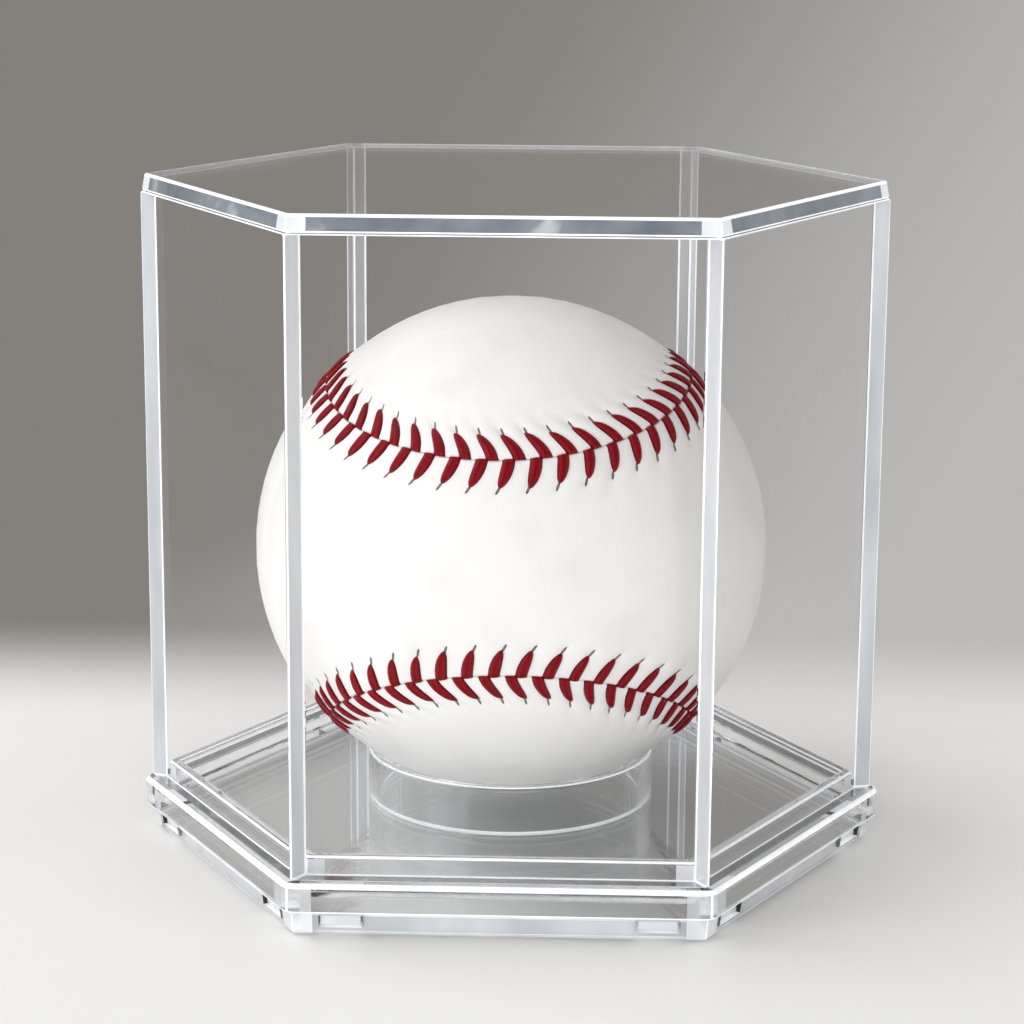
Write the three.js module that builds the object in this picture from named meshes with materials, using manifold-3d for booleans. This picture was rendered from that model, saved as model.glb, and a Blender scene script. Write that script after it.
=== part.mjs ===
// Clear hexagonal display case with a baseball on a loose ring stand.
// Millimetres, +Z up. Origin: centre of the underside. The front face looks towards -Y.
// The cover lifts off the tray, and the ball turns in its ring.

import * as THREE from 'three';
import { mergeVertices } from 'three/addons/utils/BufferGeometryUtils.js';
import Module from 'manifold-3d';

const wasm = await Module();
wasm.setup();

// Clearances that several pieces share
const BOND_GAP = 0.1;
const SEAT_GAP = 0.15;
const CUT_OVERRUN = 1;

// Cover walls: sheet panels with mitred ends. The hexagon has equal angles, and its front
// and back faces are the longer ones and stand a clearance away from the ball.
const FRONT_FACE_LENGTH = 57.5;
const BALL_CLEARANCE = 5;
const WALL_THICKNESS = 3;
const WALL_HEIGHT = 89.5;
const WALL_ARRIS = 0.2;

// Top plate, bonded on the walls
const TOP_PLATE_THICKNESS = 2.5;
const TOP_PLATE_SETBACK = 0.2;
const TOP_PLATE_DRAFT = 0.35;
const TOP_PLATE_CORNER_RADIUS = 1;
const TOP_PLATE_EDGE_RADIUS = 0.4;

// Tray: foot, flange, ledge for the cover, and the rim that the cover slips over
const FOOT_HEIGHT = 3.6;
const FOOT_SETBACK = 1;
const FOOT_DRAFT = 0.4;
const FOOT_EDGE_RADIUS = 0.8;
const FLANGE_REACH = 1.2;
const FLANGE_HEIGHT = 4.2;
const FLANGE_EDGE_RADIUS = 0.6;
const FLANGE_LOWER_RADIUS = 0.3;
const FLANGE_CORNER_RADIUS = 2.2;
const RIM_CLEARANCE = 0.35;
const RIM_THICKNESS = 1.6;
const RIM_HEIGHT = 2.8;
const RIM_EDGE_RADIUS = 0.5;
const FLOOR_DROP = 1.2;
const FLOOR_FILLET = 0.6;
const TRAY_THICKNESS = 1.8;
const INNER_CORNER_RADIUS = 0.5;

// Snap windows through the foot, two on each face
const WINDOW_LENGTH = 6.1;
const WINDOW_HEIGHT = 1.8;
const WINDOW_SILL = 1.2;
const WINDOW_FROM_CORNER = 3.8;

// Bottom plate, pressed into the foot from below
const PLATE_THICKNESS = 2.8;
const PLATE_CLEARANCE = 0.3;
const PLATE_ARRIS = 0.3;
const TONGUE_CLEARANCE = 0.3;
const TONGUE_TIP_HEIGHT = 0.5;
const TONGUE_RECESS = 0.4;
const TONGUE_ROOT = 0.8;

// Ring stand
const RING_DIAMETER = 43;
const RING_WALL = 1.7;
const RING_HEIGHT = 7.4;
const RING_SEAT_WIDTH = 0.5;
const RING_EDGE_RADIUS = 0.5;
const RING_ARRIS = 0.25;

// Ball: wound core, two figure-eight leather panels and one thread
const BALL_DIAMETER = 74;
const LEATHER_THICKNESS = 1.3;
const CORE_GAP = 0.3;
const SEAM_CHANNEL_WIDTH = 1.3;
const SEAM_CORD_WIDTH = 0.7;
const SEAM_CORD_RISE = 0.35;
const STITCH_COUNT = 108;
const STITCH_REACH = 4.1;
const STITCH_SWEEP_FRONT = 1.35;
const STITCH_SWEEP_OTHER = 2.25;
const STITCH_STAGGER = 0.7;
const THREAD_WIDTH = 1.8;
const THREAD_HEIGHT = 0.6;
const THREAD_GAP = 0.15;

// How the ball lies: its front band looks up, left, and leans sideways a little
const BALL_TILT_DEGREES = 7.9;
const BALL_TURN_DEGREES = -0.4;
const BALL_LEAN_DEGREES = -1.1;

// How the seam bends: the part of the third harmonic in its curve, and how far its waists
// draw apart next to an evenly bent curve
const SEAM_BEND_SHARE = 0.325;
const SEAM_DEPTH_SHARE = 0.845;

// Places along half a stitch, from the seam out to the needle hole: how far across and
// how far swept back, and how wide and high the thread is there
const STITCH_STATION_SHARES = [
  { across: 1, back: 1, width: 0.5, height: 0.45 },
  { across: 0.5, back: 0.35, width: 1, height: 1 },
  { across: 0.06, back: 0, width: 1, height: 0.9 },
];

// How finely round forms are faceted
const CORNER_STEPS = 3;
const EDGE_STEPS = 2;
const RING_STEPS = 54;
const LEATHER_STEPS = 40;
const CORE_STEPS = 24;
const SEAM_STEPS = 144;
const SEAM_LENGTH_STEPS = 2000;

// The leather cutter reaches past the ball, so that its flat faces stay clear of it
const CUTTER_REACH_SHARE = 2.5;

// The hexagon's fixed angles
const HALF_CORNER_ANGLE = Math.PI / 6;
const CORNER_ANGLE = Math.PI / 3;
const SIDES = 6;

// Levels, from the underside up
const LEDGE_LEVEL = FOOT_HEIGHT + FLANGE_HEIGHT;
const RIM_LEVEL = LEDGE_LEVEL + RIM_HEIGHT;
const FLOOR_LEVEL = LEDGE_LEVEL - FLOOR_DROP;
const WALL_LEVEL = LEDGE_LEVEL + SEAT_GAP;
const TOP_PLATE_LEVEL = WALL_LEVEL + WALL_HEIGHT + BOND_GAP;
const RING_LEVEL = FLOOR_LEVEL + SEAT_GAP;

// Distances out from the cover's outer faces, so inside is negative
const RIM_OUTSET = -WALL_THICKNESS - RIM_CLEARANCE;
const RIM_INNER_OUTSET = RIM_OUTSET - RIM_THICKNESS;
const FOOT_OUTSET = FLANGE_REACH - FOOT_SETBACK;
const FOOT_LOWER_OUTSET = FOOT_OUTSET - FOOT_DRAFT;
const SKIRT_INNER_OUTSET = FOOT_LOWER_OUTSET - TRAY_THICKNESS;
const PLATE_OUTSET = SKIRT_INNER_OUTSET - PLATE_CLEARANCE;

// The case's depth follows from the ball inside it.
const BALL_RADIUS = BALL_DIAMETER / 2;
const HALF_DEPTH = BALL_RADIUS + BALL_CLEARANCE + WALL_THICKNESS;
const OBLIQUE_FACE_LENGTH = HALF_DEPTH / Math.cos(HALF_CORNER_ANGLE);

const clearAcrylic = {
  color: 0xdfe7ef,
  roughness: 0.05,
  metalness: 0,
  transparent: true,
  opacity: 0.35,
};
const whiteLeather = { color: 0xf4f2ee, roughness: 0.5, metalness: 0 };
const redThread = { color: 0x9e1824, roughness: 0.7, metalness: 0 };
const woundCore = { color: 0xcfc6b4, roughness: 0.9, metalness: 0 };

function namedMesh(name, geometry, finish) {
  const mesh = new THREE.Mesh(geometry, new THREE.MeshStandardMaterial(finish));
  mesh.name = name;
  return mesh;
}

// Geometry as a solid that can be joined and cut, and back

function solidOf(geometry) {
  const bare = new THREE.BufferGeometry();
  bare.setAttribute('position', geometry.getAttribute('position'));
  bare.setIndex(geometry.getIndex());
  const merged = mergeVertices(bare);
  return new wasm.Manifold(
    new wasm.Mesh({
      numProp: 3,
      vertProperties: new Float32Array(merged.getAttribute('position').array),
      triVerts: new Uint32Array(merged.getIndex().array),
    }),
  );
}

function geometryOf(solid) {
  const mesh = solid.getMesh();
  const geometry = new THREE.BufferGeometry();
  geometry.setAttribute('position', new THREE.BufferAttribute(mesh.vertProperties, 3));
  geometry.setIndex(new THREE.BufferAttribute(mesh.triVerts, 1));
  geometry.computeVertexNormals();
  return geometry;
}

function geometryFrom(points, triangles) {
  const geometry = new THREE.BufferGeometry().setFromPoints(points);
  geometry.setIndex(triangles.flat());
  geometry.computeVertexNormals();
  return geometry;
}

// The hexagon that the cover, tray and plates share

// Corner 0 is the right one and the rest follow anticlockwise, seen from above.
function hexagonCorner(index) {
  const halfFront = FRONT_FACE_LENGTH / 2;
  const halfOblique = OBLIQUE_FACE_LENGTH / 2;
  const angle = index * CORNER_ANGLE;
  const corner = new THREE.Vector2(Math.cos(angle), Math.sin(angle));
  if (Math.abs(corner.y) < Math.sin(HALF_CORNER_ANGLE)) {
    return new THREE.Vector2(Math.sign(corner.x) * (halfFront + halfOblique), 0);
  }
  return new THREE.Vector2(Math.sign(corner.x) * halfFront, Math.sign(corner.y) * HALF_DEPTH);
}

// The hexagon moved out by outset, with rounded corners
function hexagonRing(outset, radius) {
  const ring = [];
  for (let side = 0; side < SIDES; side += 1) {
    const towards = side * CORNER_ANGLE;
    const shift = (outset - radius) / Math.cos(HALF_CORNER_ANGLE);
    const centre = hexagonCorner(side);
    centre.x += shift * Math.cos(towards);
    centre.y += shift * Math.sin(towards);
    for (let step = 0; step <= CORNER_STEPS; step += 1) {
      const angle = towards - HALF_CORNER_ANGLE + (CORNER_ANGLE * step) / CORNER_STEPS;
      ring.push(
        new THREE.Vector2(centre.x + radius * Math.cos(angle), centre.y + radius * Math.sin(angle)),
      );
    }
  }
  return ring;
}

// A solid whose section is profile all round the hexagon, as a lathe does round an axis.
// The profile runs from the middle of the top, down the outside, to the middle of the
// underside. Its corners keep one centre, down to the least radius.
function hexagonalTurning(profile, cornerRadius, leastRadius) {
  const widest = Math.max(...profile.map((point) => point.outset));
  const points = [];
  for (const { outset, level } of profile) {
    const radius = Math.max(cornerRadius - (widest - outset), leastRadius);
    for (const place of hexagonRing(outset, radius)) {
      points.push(new THREE.Vector3(place.x, place.y, level));
    }
  }
  const around = points.length / profile.length;
  const triangles = [];
  for (let row = 0; row + 1 < profile.length; row += 1) {
    for (let column = 0; column < around; column += 1) {
      const next = (column + 1) % around;
      const [a, b] = [row * around + column, row * around + next];
      const [c, d] = [a + around, b + around];
      triangles.push([a, c, d], [a, d, b]);
    }
  }
  const last = points.length - around;
  for (let column = 1; column + 1 < around; column += 1) {
    triangles.push([0, column, column + 1]);
    triangles.push([last, last + column + 1, last + column]);
  }
  return geometryFrom(points, triangles);
}

// Directions on a profile, in quarter turns
const OUTWARDS = 0;
const UP = 1;
const INWARDS = 2;
const DOWN = -1;

// Profile points on an arc round a centre, from one direction to another
function profileArc(outset, level, radius, fromQuarter, toQuarter) {
  const arc = [];
  for (let step = 0; step <= EDGE_STEPS; step += 1) {
    const quarters = fromQuarter + ((toQuarter - fromQuarter) * step) / EDGE_STEPS;
    const angle = (quarters * Math.PI) / 2;
    arc.push({ outset: outset + radius * Math.cos(angle), level: level + radius * Math.sin(angle) });
  }
  return arc;
}

// Side 0 runs from corner 0 to corner 1. Its group has +X along the side and +Y inwards.
function sideFrame(side) {
  const [start, end] = [hexagonCorner(side), hexagonCorner((side + 1) % SIDES)];
  const frame = new THREE.Group();
  frame.position.set((start.x + end.x) / 2, (start.y + end.y) / 2, 0);
  frame.rotation.z = (side + 2) * CORNER_ANGLE;
  return { frame, length: start.distanceTo(end) };
}

// Cover

function wallPanel(length) {
  const halfLength = length / 2 - BOND_GAP / 2 / Math.cos(HALF_CORNER_ANGLE);
  const mitre = WALL_THICKNESS * Math.tan(HALF_CORNER_ANGLE);
  const section = new THREE.Shape([
    new THREE.Vector2(-halfLength, 0),
    new THREE.Vector2(halfLength, 0),
    new THREE.Vector2(halfLength - mitre, WALL_THICKNESS),
    new THREE.Vector2(mitre - halfLength, WALL_THICKNESS),
  ]);
  const panel = new THREE.ExtrudeGeometry(section, {
    depth: WALL_HEIGHT - 2 * WALL_ARRIS,
    bevelThickness: WALL_ARRIS,
    bevelSize: WALL_ARRIS,
    bevelOffset: -WALL_ARRIS,
    bevelSegments: 1,
  });
  panel.translate(0, 0, WALL_ARRIS);
  return panel;
}

function coverWalls() {
  const names = [
    'wall_back_right',
    'wall_back',
    'wall_back_left',
    'wall_front_left',
    'wall_front',
    'wall_front_right',
  ];
  return names.map((name, side) => {
    const { frame, length } = sideFrame(side);
    frame.position.z = WALL_LEVEL;
    frame.add(namedMesh(name, wallPanel(length), clearAcrylic));
    return frame;
  });
}

function topPlate() {
  const top = TOP_PLATE_LEVEL + TOP_PLATE_THICKNESS;
  const upperOutset = -TOP_PLATE_SETBACK - TOP_PLATE_DRAFT;
  const profile = [
    ...profileArc(
      upperOutset - TOP_PLATE_EDGE_RADIUS,
      top - TOP_PLATE_EDGE_RADIUS,
      TOP_PLATE_EDGE_RADIUS,
      UP,
      OUTWARDS,
    ),
    { outset: -TOP_PLATE_SETBACK, level: TOP_PLATE_LEVEL + WALL_ARRIS },
    { outset: -TOP_PLATE_SETBACK - WALL_ARRIS, level: TOP_PLATE_LEVEL },
  ];
  const plate = hexagonalTurning(profile, TOP_PLATE_CORNER_RADIUS, INNER_CORNER_RADIUS);
  return namedMesh('top_plate', plate, clearAcrylic);
}

// Tray

function trayProfile() {
  const rimCentreLevel = RIM_LEVEL - RIM_EDGE_RADIUS;
  const filletOutset = RIM_INNER_OUTSET - FLOOR_FILLET;
  const upperEdge = [FLANGE_REACH - FLANGE_EDGE_RADIUS, LEDGE_LEVEL - FLANGE_EDGE_RADIUS];
  const lowerEdge = [FLANGE_REACH - FLANGE_LOWER_RADIUS, FOOT_HEIGHT + FLANGE_LOWER_RADIUS];
  const footEdge = [FOOT_LOWER_OUTSET - FOOT_EDGE_RADIUS, FOOT_EDGE_RADIUS];
  return [
    ...profileArc(filletOutset, FLOOR_LEVEL + FLOOR_FILLET, FLOOR_FILLET, DOWN, OUTWARDS),
    ...profileArc(RIM_INNER_OUTSET + RIM_EDGE_RADIUS, rimCentreLevel, RIM_EDGE_RADIUS, INWARDS, UP),
    ...profileArc(RIM_OUTSET - RIM_EDGE_RADIUS, rimCentreLevel, RIM_EDGE_RADIUS, UP, OUTWARDS),
    { outset: RIM_OUTSET, level: LEDGE_LEVEL },
    ...profileArc(...upperEdge, FLANGE_EDGE_RADIUS, UP, OUTWARDS),
    ...profileArc(...lowerEdge, FLANGE_LOWER_RADIUS, OUTWARDS, DOWN),
    { outset: FOOT_OUTSET, level: FOOT_HEIGHT },
    ...profileArc(...footEdge, FOOT_EDGE_RADIUS, OUTWARDS, DOWN),
    { outset: SKIRT_INNER_OUTSET, level: 0 },
    { outset: SKIRT_INNER_OUTSET, level: LEDGE_LEVEL - TRAY_THICKNESS },
    { outset: RIM_OUTSET, level: LEDGE_LEVEL - TRAY_THICKNESS },
    { outset: RIM_OUTSET, level: FLOOR_LEVEL - TRAY_THICKNESS },
  ];
}

// Calls make with each side's frame and the place of each snap window's middle along it
function atEachWindow(make) {
  const made = [];
  for (let side = 0; side < SIDES; side += 1) {
    const { frame, length } = sideFrame(side);
    frame.updateMatrixWorld();
    const along = length / 2 - WINDOW_FROM_CORNER - WINDOW_LENGTH / 2;
    for (const place of [-along, along]) {
      made.push(make(place).applyMatrix4(frame.matrixWorld));
    }
  }
  return made;
}

function windowCutter(along) {
  const depth = FOOT_OUTSET - SKIRT_INNER_OUTSET + 2 * CUT_OVERRUN;
  const cutter = new THREE.BoxGeometry(WINDOW_LENGTH, depth, WINDOW_HEIGHT);
  const middleOutset = (FOOT_OUTSET + SKIRT_INNER_OUTSET) / 2;
  return cutter.translate(along, -middleOutset, WINDOW_SILL + WINDOW_HEIGHT / 2);
}

function baseTray() {
  const body = hexagonalTurning(trayProfile(), FLANGE_CORNER_RADIUS, INNER_CORNER_RADIUS);
  const cut = atEachWindow(windowCutter).reduce(
    (tray, cutter) => tray.subtract(solidOf(cutter)),
    solidOf(body),
  );
  return namedMesh('base_tray', geometryOf(cut), clearAcrylic);
}

// Bottom plate

// A wedge that is flat below, where it bears on the window's sill, and sloped above
function snapTongue(along) {
  const low = WINDOW_SILL + TONGUE_CLEARANCE;
  const high = WINDOW_SILL + WINDOW_HEIGHT - TONGUE_CLEARANCE;
  const tip = FOOT_LOWER_OUTSET - TONGUE_RECESS;
  const root = PLATE_OUTSET - TONGUE_ROOT;
  const side = new THREE.Shape([
    new THREE.Vector2(root, low),
    new THREE.Vector2(tip, low),
    new THREE.Vector2(tip, low + TONGUE_TIP_HEIGHT),
    new THREE.Vector2(PLATE_OUTSET, high),
    new THREE.Vector2(root, high),
  ]);
  const length = WINDOW_LENGTH - 2 * TONGUE_CLEARANCE;
  const tongue = new THREE.ExtrudeGeometry(side, { depth: length, bevelEnabled: false });
  // The section's axes become outwards and up, and its depth runs along the side.
  tongue.translate(0, 0, -length / 2);
  tongue.applyMatrix4(
    new THREE.Matrix4().makeBasis(
      new THREE.Vector3(0, -1, 0),
      new THREE.Vector3(0, 0, 1),
      new THREE.Vector3(-1, 0, 0),
    ),
  );
  return tongue.translate(along, 0, 0);
}

function bottomPlate() {
  const profile = [
    { outset: PLATE_OUTSET - PLATE_ARRIS, level: PLATE_THICKNESS },
    { outset: PLATE_OUTSET, level: PLATE_THICKNESS - PLATE_ARRIS },
    { outset: PLATE_OUTSET, level: PLATE_ARRIS },
    { outset: PLATE_OUTSET - PLATE_ARRIS, level: 0 },
  ];
  const plate = hexagonalTurning(profile, INNER_CORNER_RADIUS, INNER_CORNER_RADIUS);
  const joined = atEachWindow(snapTongue).reduce(
    (body, tongue) => body.add(solidOf(tongue)),
    solidOf(plate),
  );
  return namedMesh('bottom_plate', geometryOf(joined), clearAcrylic);
}

// Ring stand

const RING_OUTER = RING_DIAMETER / 2;
const RING_INNER = RING_OUTER - RING_WALL;
const RING_TOP = RING_LEVEL + RING_HEIGHT;

// How far below the ball's centre the ring's seat touches it, at a radius from the axis
function seatDepth(radius) {
  return Math.sqrt((BALL_RADIUS + SEAT_GAP) ** 2 - radius ** 2);
}

const BALL_LEVEL = RING_TOP + seatDepth(RING_INNER + RING_SEAT_WIDTH);

function ballRing() {
  const seatStart = BALL_LEVEL - seatDepth(RING_INNER);
  const edge = [RING_OUTER - RING_EDGE_RADIUS, RING_TOP - RING_EDGE_RADIUS];
  const profile = [
    new THREE.Vector2(RING_INNER, RING_LEVEL + RING_ARRIS),
    new THREE.Vector2(RING_INNER + RING_ARRIS, RING_LEVEL),
    new THREE.Vector2(RING_OUTER - RING_ARRIS, RING_LEVEL),
    new THREE.Vector2(RING_OUTER, RING_LEVEL + RING_ARRIS),
    ...profileArc(...edge, RING_EDGE_RADIUS, OUTWARDS, UP).map(
      ({ outset, level }) => new THREE.Vector2(outset, level),
    ),
    new THREE.Vector2(RING_INNER + RING_SEAT_WIDTH, RING_TOP),
    new THREE.Vector2(RING_INNER, seatStart),
    new THREE.Vector2(RING_INNER, RING_LEVEL + RING_ARRIS),
  ];
  const ring = new THREE.LatheGeometry(profile, RING_STEPS);
  // A lathe turns round +Y, and the ring stands up along +Z.
  ring.rotateX(Math.PI / 2);
  return namedMesh('ball_ring', ring, clearAcrylic);
}

// Ball

// The closed seam on a ball of radius 1, with equal lobes on both sides of it
class SeamCurve extends THREE.Curve {
  getPoint(share, target = new THREE.Vector3()) {
    const angle = share * 2 * Math.PI;
    const [round, bend] = [1 - SEAM_BEND_SHARE, SEAM_BEND_SHARE];
    const depth = 2 * Math.sqrt(round * bend) * SEAM_DEPTH_SHARE;
    return target
      .set(
        round * Math.cos(angle) + bend * Math.cos(3 * angle),
        round * Math.sin(angle) - bend * Math.sin(3 * angle),
        depth * Math.sin(2 * angle),
      )
      .normalize();
  }
}

const seam = new SeamCurve();
seam.arcLengthDivisions = SEAM_LENGTH_STEPS;

// A point near the seam: so far along and across it, at a radius from the ball's centre.
// Across is positive towards the panel whose waist is at +Z.
function besideSeam(share, along, across, radius) {
  const place = seam.getPointAt(share);
  const forwards = seam.getTangentAt(share);
  const sideways = new THREE.Vector3().crossVectors(place, forwards);
  return place
    .addScaledVector(forwards, along / BALL_RADIUS)
    .addScaledVector(sideways, across / BALL_RADIUS)
    .normalize()
    .multiplyScalar(radius);
}

function sphere(radius, steps) {
  return new THREE.SphereGeometry(radius, steps, steps / 2);
}

// A cone from the ball's centre over one figure-eight panel. Its outer face fans out from
// the middles of both lobes. The side is 1 for the panel with its waist at +Z, and -1 for
// the other.
function panelCone(side) {
  const reach = BALL_RADIUS * CUTTER_REACH_SHARE;
  const edge = [];
  for (let step = 0; step < SEAM_STEPS; step += 1) {
    edge.push(besideSeam(step / SEAM_STEPS, 0, (side * SEAM_CHANNEL_WIDTH) / 2, reach));
  }
  const lobe = new THREE.Vector3(1, -side, 0).setLength(reach);
  const points = [
    ...edge,
    new THREE.Vector3(),
    new THREE.Vector3(0, 0, side * reach),
    lobe,
    lobe.clone().negate(),
  ];
  const [centre, waist, lobeOne, lobeTwo] = [0, 1, 2, 3].map((place) => SEAM_STEPS + place);
  const triangles = [];
  const addFace = (a, b, c) => triangles.push(side > 0 ? [a, b, c] : [a, c, b]);
  for (let step = 0; step < SEAM_STEPS; step += 1) {
    const next = (step + 1) % SEAM_STEPS;
    const middle = edge[step].clone().add(edge[next]);
    addFace(centre, next, step);
    addFace(step, next, middle.dot(lobe) > 0 ? lobeOne : lobeTwo);
  }
  // The lobes meet over the waist, between the two places where the seam comes closest.
  const eighth = SEAM_STEPS / 8;
  const [first, second] = side > 0 ? [eighth, 5 * eighth] : [3 * eighth, 7 * eighth];
  addFace(first, lobeTwo, waist);
  addFace(lobeTwo, second, waist);
  addFace(second, lobeOne, waist);
  addFace(lobeOne, first, waist);
  return geometryFrom(points, triangles);
}

function leatherPanel(name, side) {
  const outer = solidOf(sphere(BALL_RADIUS, LEATHER_STEPS));
  const inner = solidOf(sphere(BALL_RADIUS - LEATHER_THICKNESS, CORE_STEPS));
  const panel = outer.subtract(inner).intersect(solidOf(panelCone(side)));
  return namedMesh(name, geometryOf(panel), whiteLeather);
}

function ballCore() {
  const radius = BALL_RADIUS - LEATHER_THICKNESS - CORE_GAP;
  return namedMesh('ball_core', sphere(radius, CORE_STEPS), woundCore);
}

// The thread where it lies in the channel between the panels, all the way round
function seamCord() {
  const low = BALL_RADIUS - LEATHER_THICKNESS;
  const section = [
    [0, BALL_RADIUS + SEAM_CORD_RISE],
    [SEAM_CORD_WIDTH / 2, low],
    [-SEAM_CORD_WIDTH / 2, low],
  ];
  const points = [];
  for (let step = 0; step < STITCH_COUNT; step += 1) {
    for (const [across, radius] of section) {
      points.push(besideSeam(step / STITCH_COUNT, 0, across, radius));
    }
  }
  const triangles = [];
  for (let step = 0; step < STITCH_COUNT; step += 1) {
    const [here, next] = [step * section.length, ((step + 1) % STITCH_COUNT) * section.length];
    for (let corner = 0; corner < section.length; corner += 1) {
      const other = (corner + 1) % section.length;
      triangles.push([here + corner, next + corner, next + other]);
      triangles.push([here + corner, next + other, here + other]);
    }
  }
  return geometryFrom(points, triangles);
}

// One double stitch: a ridge of thread from one needle hole, over the seam, to the other.
// Its two arms start side by side, each to its own side of the stitch's middle.
function doubleStitch(share) {
  const arm = (side, sweep) =>
    STITCH_STATION_SHARES.map((station) => ({
      ...station,
      across: side * station.across,
      middle: side * STITCH_STAGGER + sweep * station.back,
    }));
  const stations = [...arm(-1, STITCH_SWEEP_OTHER), ...arm(1, STITCH_SWEEP_FRONT).reverse()];
  const base = BALL_RADIUS + THREAD_GAP;
  const points = [];
  for (const { across, middle, width, height } of stations) {
    const half = (THREAD_WIDTH * width) / 2;
    const aside = STITCH_REACH * across;
    points.push(besideSeam(share, middle - half, aside, base));
    points.push(besideSeam(share, middle, aside, base + THREAD_HEIGHT * height));
    points.push(besideSeam(share, middle + half, aside, base));
  }
  const triangles = [[0, 2, 1]];
  for (let row = 0; row + 1 < stations.length; row += 1) {
    const here = 3 * row;
    for (let corner = 0; corner < 3; corner += 1) {
      const other = (corner + 1) % 3;
      triangles.push([here + corner, here + 3 + other, here + 3 + corner]);
      triangles.push([here + corner, here + other, here + 3 + other]);
    }
  }
  const end = points.length - 3;
  triangles.push([end, end + 1, end + 2]);
  return geometryFrom(points, triangles);
}

function ballStitching() {
  let thread = solidOf(seamCord());
  for (let stitch = 0; stitch < STITCH_COUNT; stitch += 1) {
    thread = thread.add(solidOf(doubleStitch(stitch / STITCH_COUNT)));
  }
  return namedMesh('ball_stitching', geometryOf(thread), redThread);
}

// The seam's own frame is turned until its front band looks forwards.
function ball() {
  const inSeamFrame = new THREE.Group();
  inSeamFrame.rotation.z = Math.PI / 4;
  inSeamFrame.add(
    ballCore(),
    leatherPanel('ball_leather_a', -1),
    leatherPanel('ball_leather_b', 1),
    ballStitching(),
  );
  const tilted = new THREE.Group();
  tilted.rotation.x = Math.PI / 2 - THREE.MathUtils.degToRad(BALL_TILT_DEGREES);
  tilted.add(inSeamFrame);
  const leaning = new THREE.Group();
  leaning.rotation.y = THREE.MathUtils.degToRad(BALL_LEAN_DEGREES);
  leaning.add(tilted);
  const turned = new THREE.Group();
  turned.rotation.z = THREE.MathUtils.degToRad(BALL_TURN_DEGREES);
  turned.position.z = BALL_LEVEL;
  turned.add(leaning);
  return turned;
}

const displayCase = new THREE.Group();
displayCase.add(topPlate(), ...coverWalls(), baseTray(), bottomPlate(), ballRing(), ball());

export default displayCase;
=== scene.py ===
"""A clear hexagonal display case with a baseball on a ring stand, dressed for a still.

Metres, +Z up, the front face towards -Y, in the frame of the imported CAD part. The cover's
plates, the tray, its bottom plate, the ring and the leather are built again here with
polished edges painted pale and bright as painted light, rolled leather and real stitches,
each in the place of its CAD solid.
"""

import logging
import math
from collections.abc import Callable, Sequence
from dataclasses import dataclass, replace
from enum import Enum, IntEnum
from functools import partial

import bmesh
import bpy
import numpy as np
from mathutils import Matrix, Vector


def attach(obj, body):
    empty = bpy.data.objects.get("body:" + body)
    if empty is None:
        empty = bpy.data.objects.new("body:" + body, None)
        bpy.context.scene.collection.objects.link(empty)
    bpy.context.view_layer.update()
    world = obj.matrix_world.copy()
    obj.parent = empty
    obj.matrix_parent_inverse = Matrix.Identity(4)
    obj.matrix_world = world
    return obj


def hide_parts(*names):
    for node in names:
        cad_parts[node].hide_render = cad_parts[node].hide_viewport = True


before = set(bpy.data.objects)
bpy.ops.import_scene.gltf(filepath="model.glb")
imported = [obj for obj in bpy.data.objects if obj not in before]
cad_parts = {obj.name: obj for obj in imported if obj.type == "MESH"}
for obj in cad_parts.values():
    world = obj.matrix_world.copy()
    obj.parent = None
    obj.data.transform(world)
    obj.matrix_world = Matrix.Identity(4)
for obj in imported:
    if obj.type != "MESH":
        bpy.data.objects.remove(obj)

LOG = logging.getLogger("display_case")
MM = 0.001
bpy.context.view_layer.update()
# The ball's own data: its map along and out from the seam, and each thread's lay
SEAM_MAP = "seam"
THREAD_LAY = "lay"
# Points closer than this are one.
WELD = 2e-6
# A face looks along an axis where its normal's share of it is over this.
FACING = 0.9
SMOOTH = {"interpolation_type": "SMOOTHSTEP"}

Colour = tuple[float, float, float, float]
Point = tuple[float, float, float]
Piece = bpy.types.Object
Socket = bpy.types.NodeSocket
Add = Callable[..., Socket]
Tones = tuple[tuple[float, str], ...]
Stops = tuple[tuple[float, float], ...]


# Small tools


def linear(hex_colour: str) -> Colour:
    """Turns an sRGB hex colour into linear light.

    Args:
        hex_colour: A hash and six hex digits.

    Returns:
        Red, green and blue in linear light, and an alpha of 1.
    """
    shares = [int(hex_colour[at : at + 2], 16) / 255 for at in (1, 3, 5)]
    light = [s / 12.92 if s <= 0.04045 else ((s + 0.055) / 1.055) ** 2.4 for s in shares]
    return (light[0], light[1], light[2], 1.0)


def lay_stops(node: bpy.types.Node, stops: Sequence[tuple[float, object]]) -> None:
    """Lays a colour ramp's hex colours or a curve's points.

    Args:
        node: The ramp or curve.
        stops: Places from 0 to 1, each with its colour or height.
    """
    if hasattr(node, "color_ramp"):
        while len(node.color_ramp.elements) < len(stops):
            node.color_ramp.elements.new(1.0)
        for element, (place, hex_colour) in zip(node.color_ramp.elements, stops):
            element.position, element.color = place, linear(hex_colour)
        return
    points = node.mapping.curves[0].points
    while len(points) < len(stops):
        points.new(0.5, 0.5)
    for point, stop in zip(points, stops):
        point.location, point.handle_type = stop, "VECTOR"
    node.mapping.update()


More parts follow.
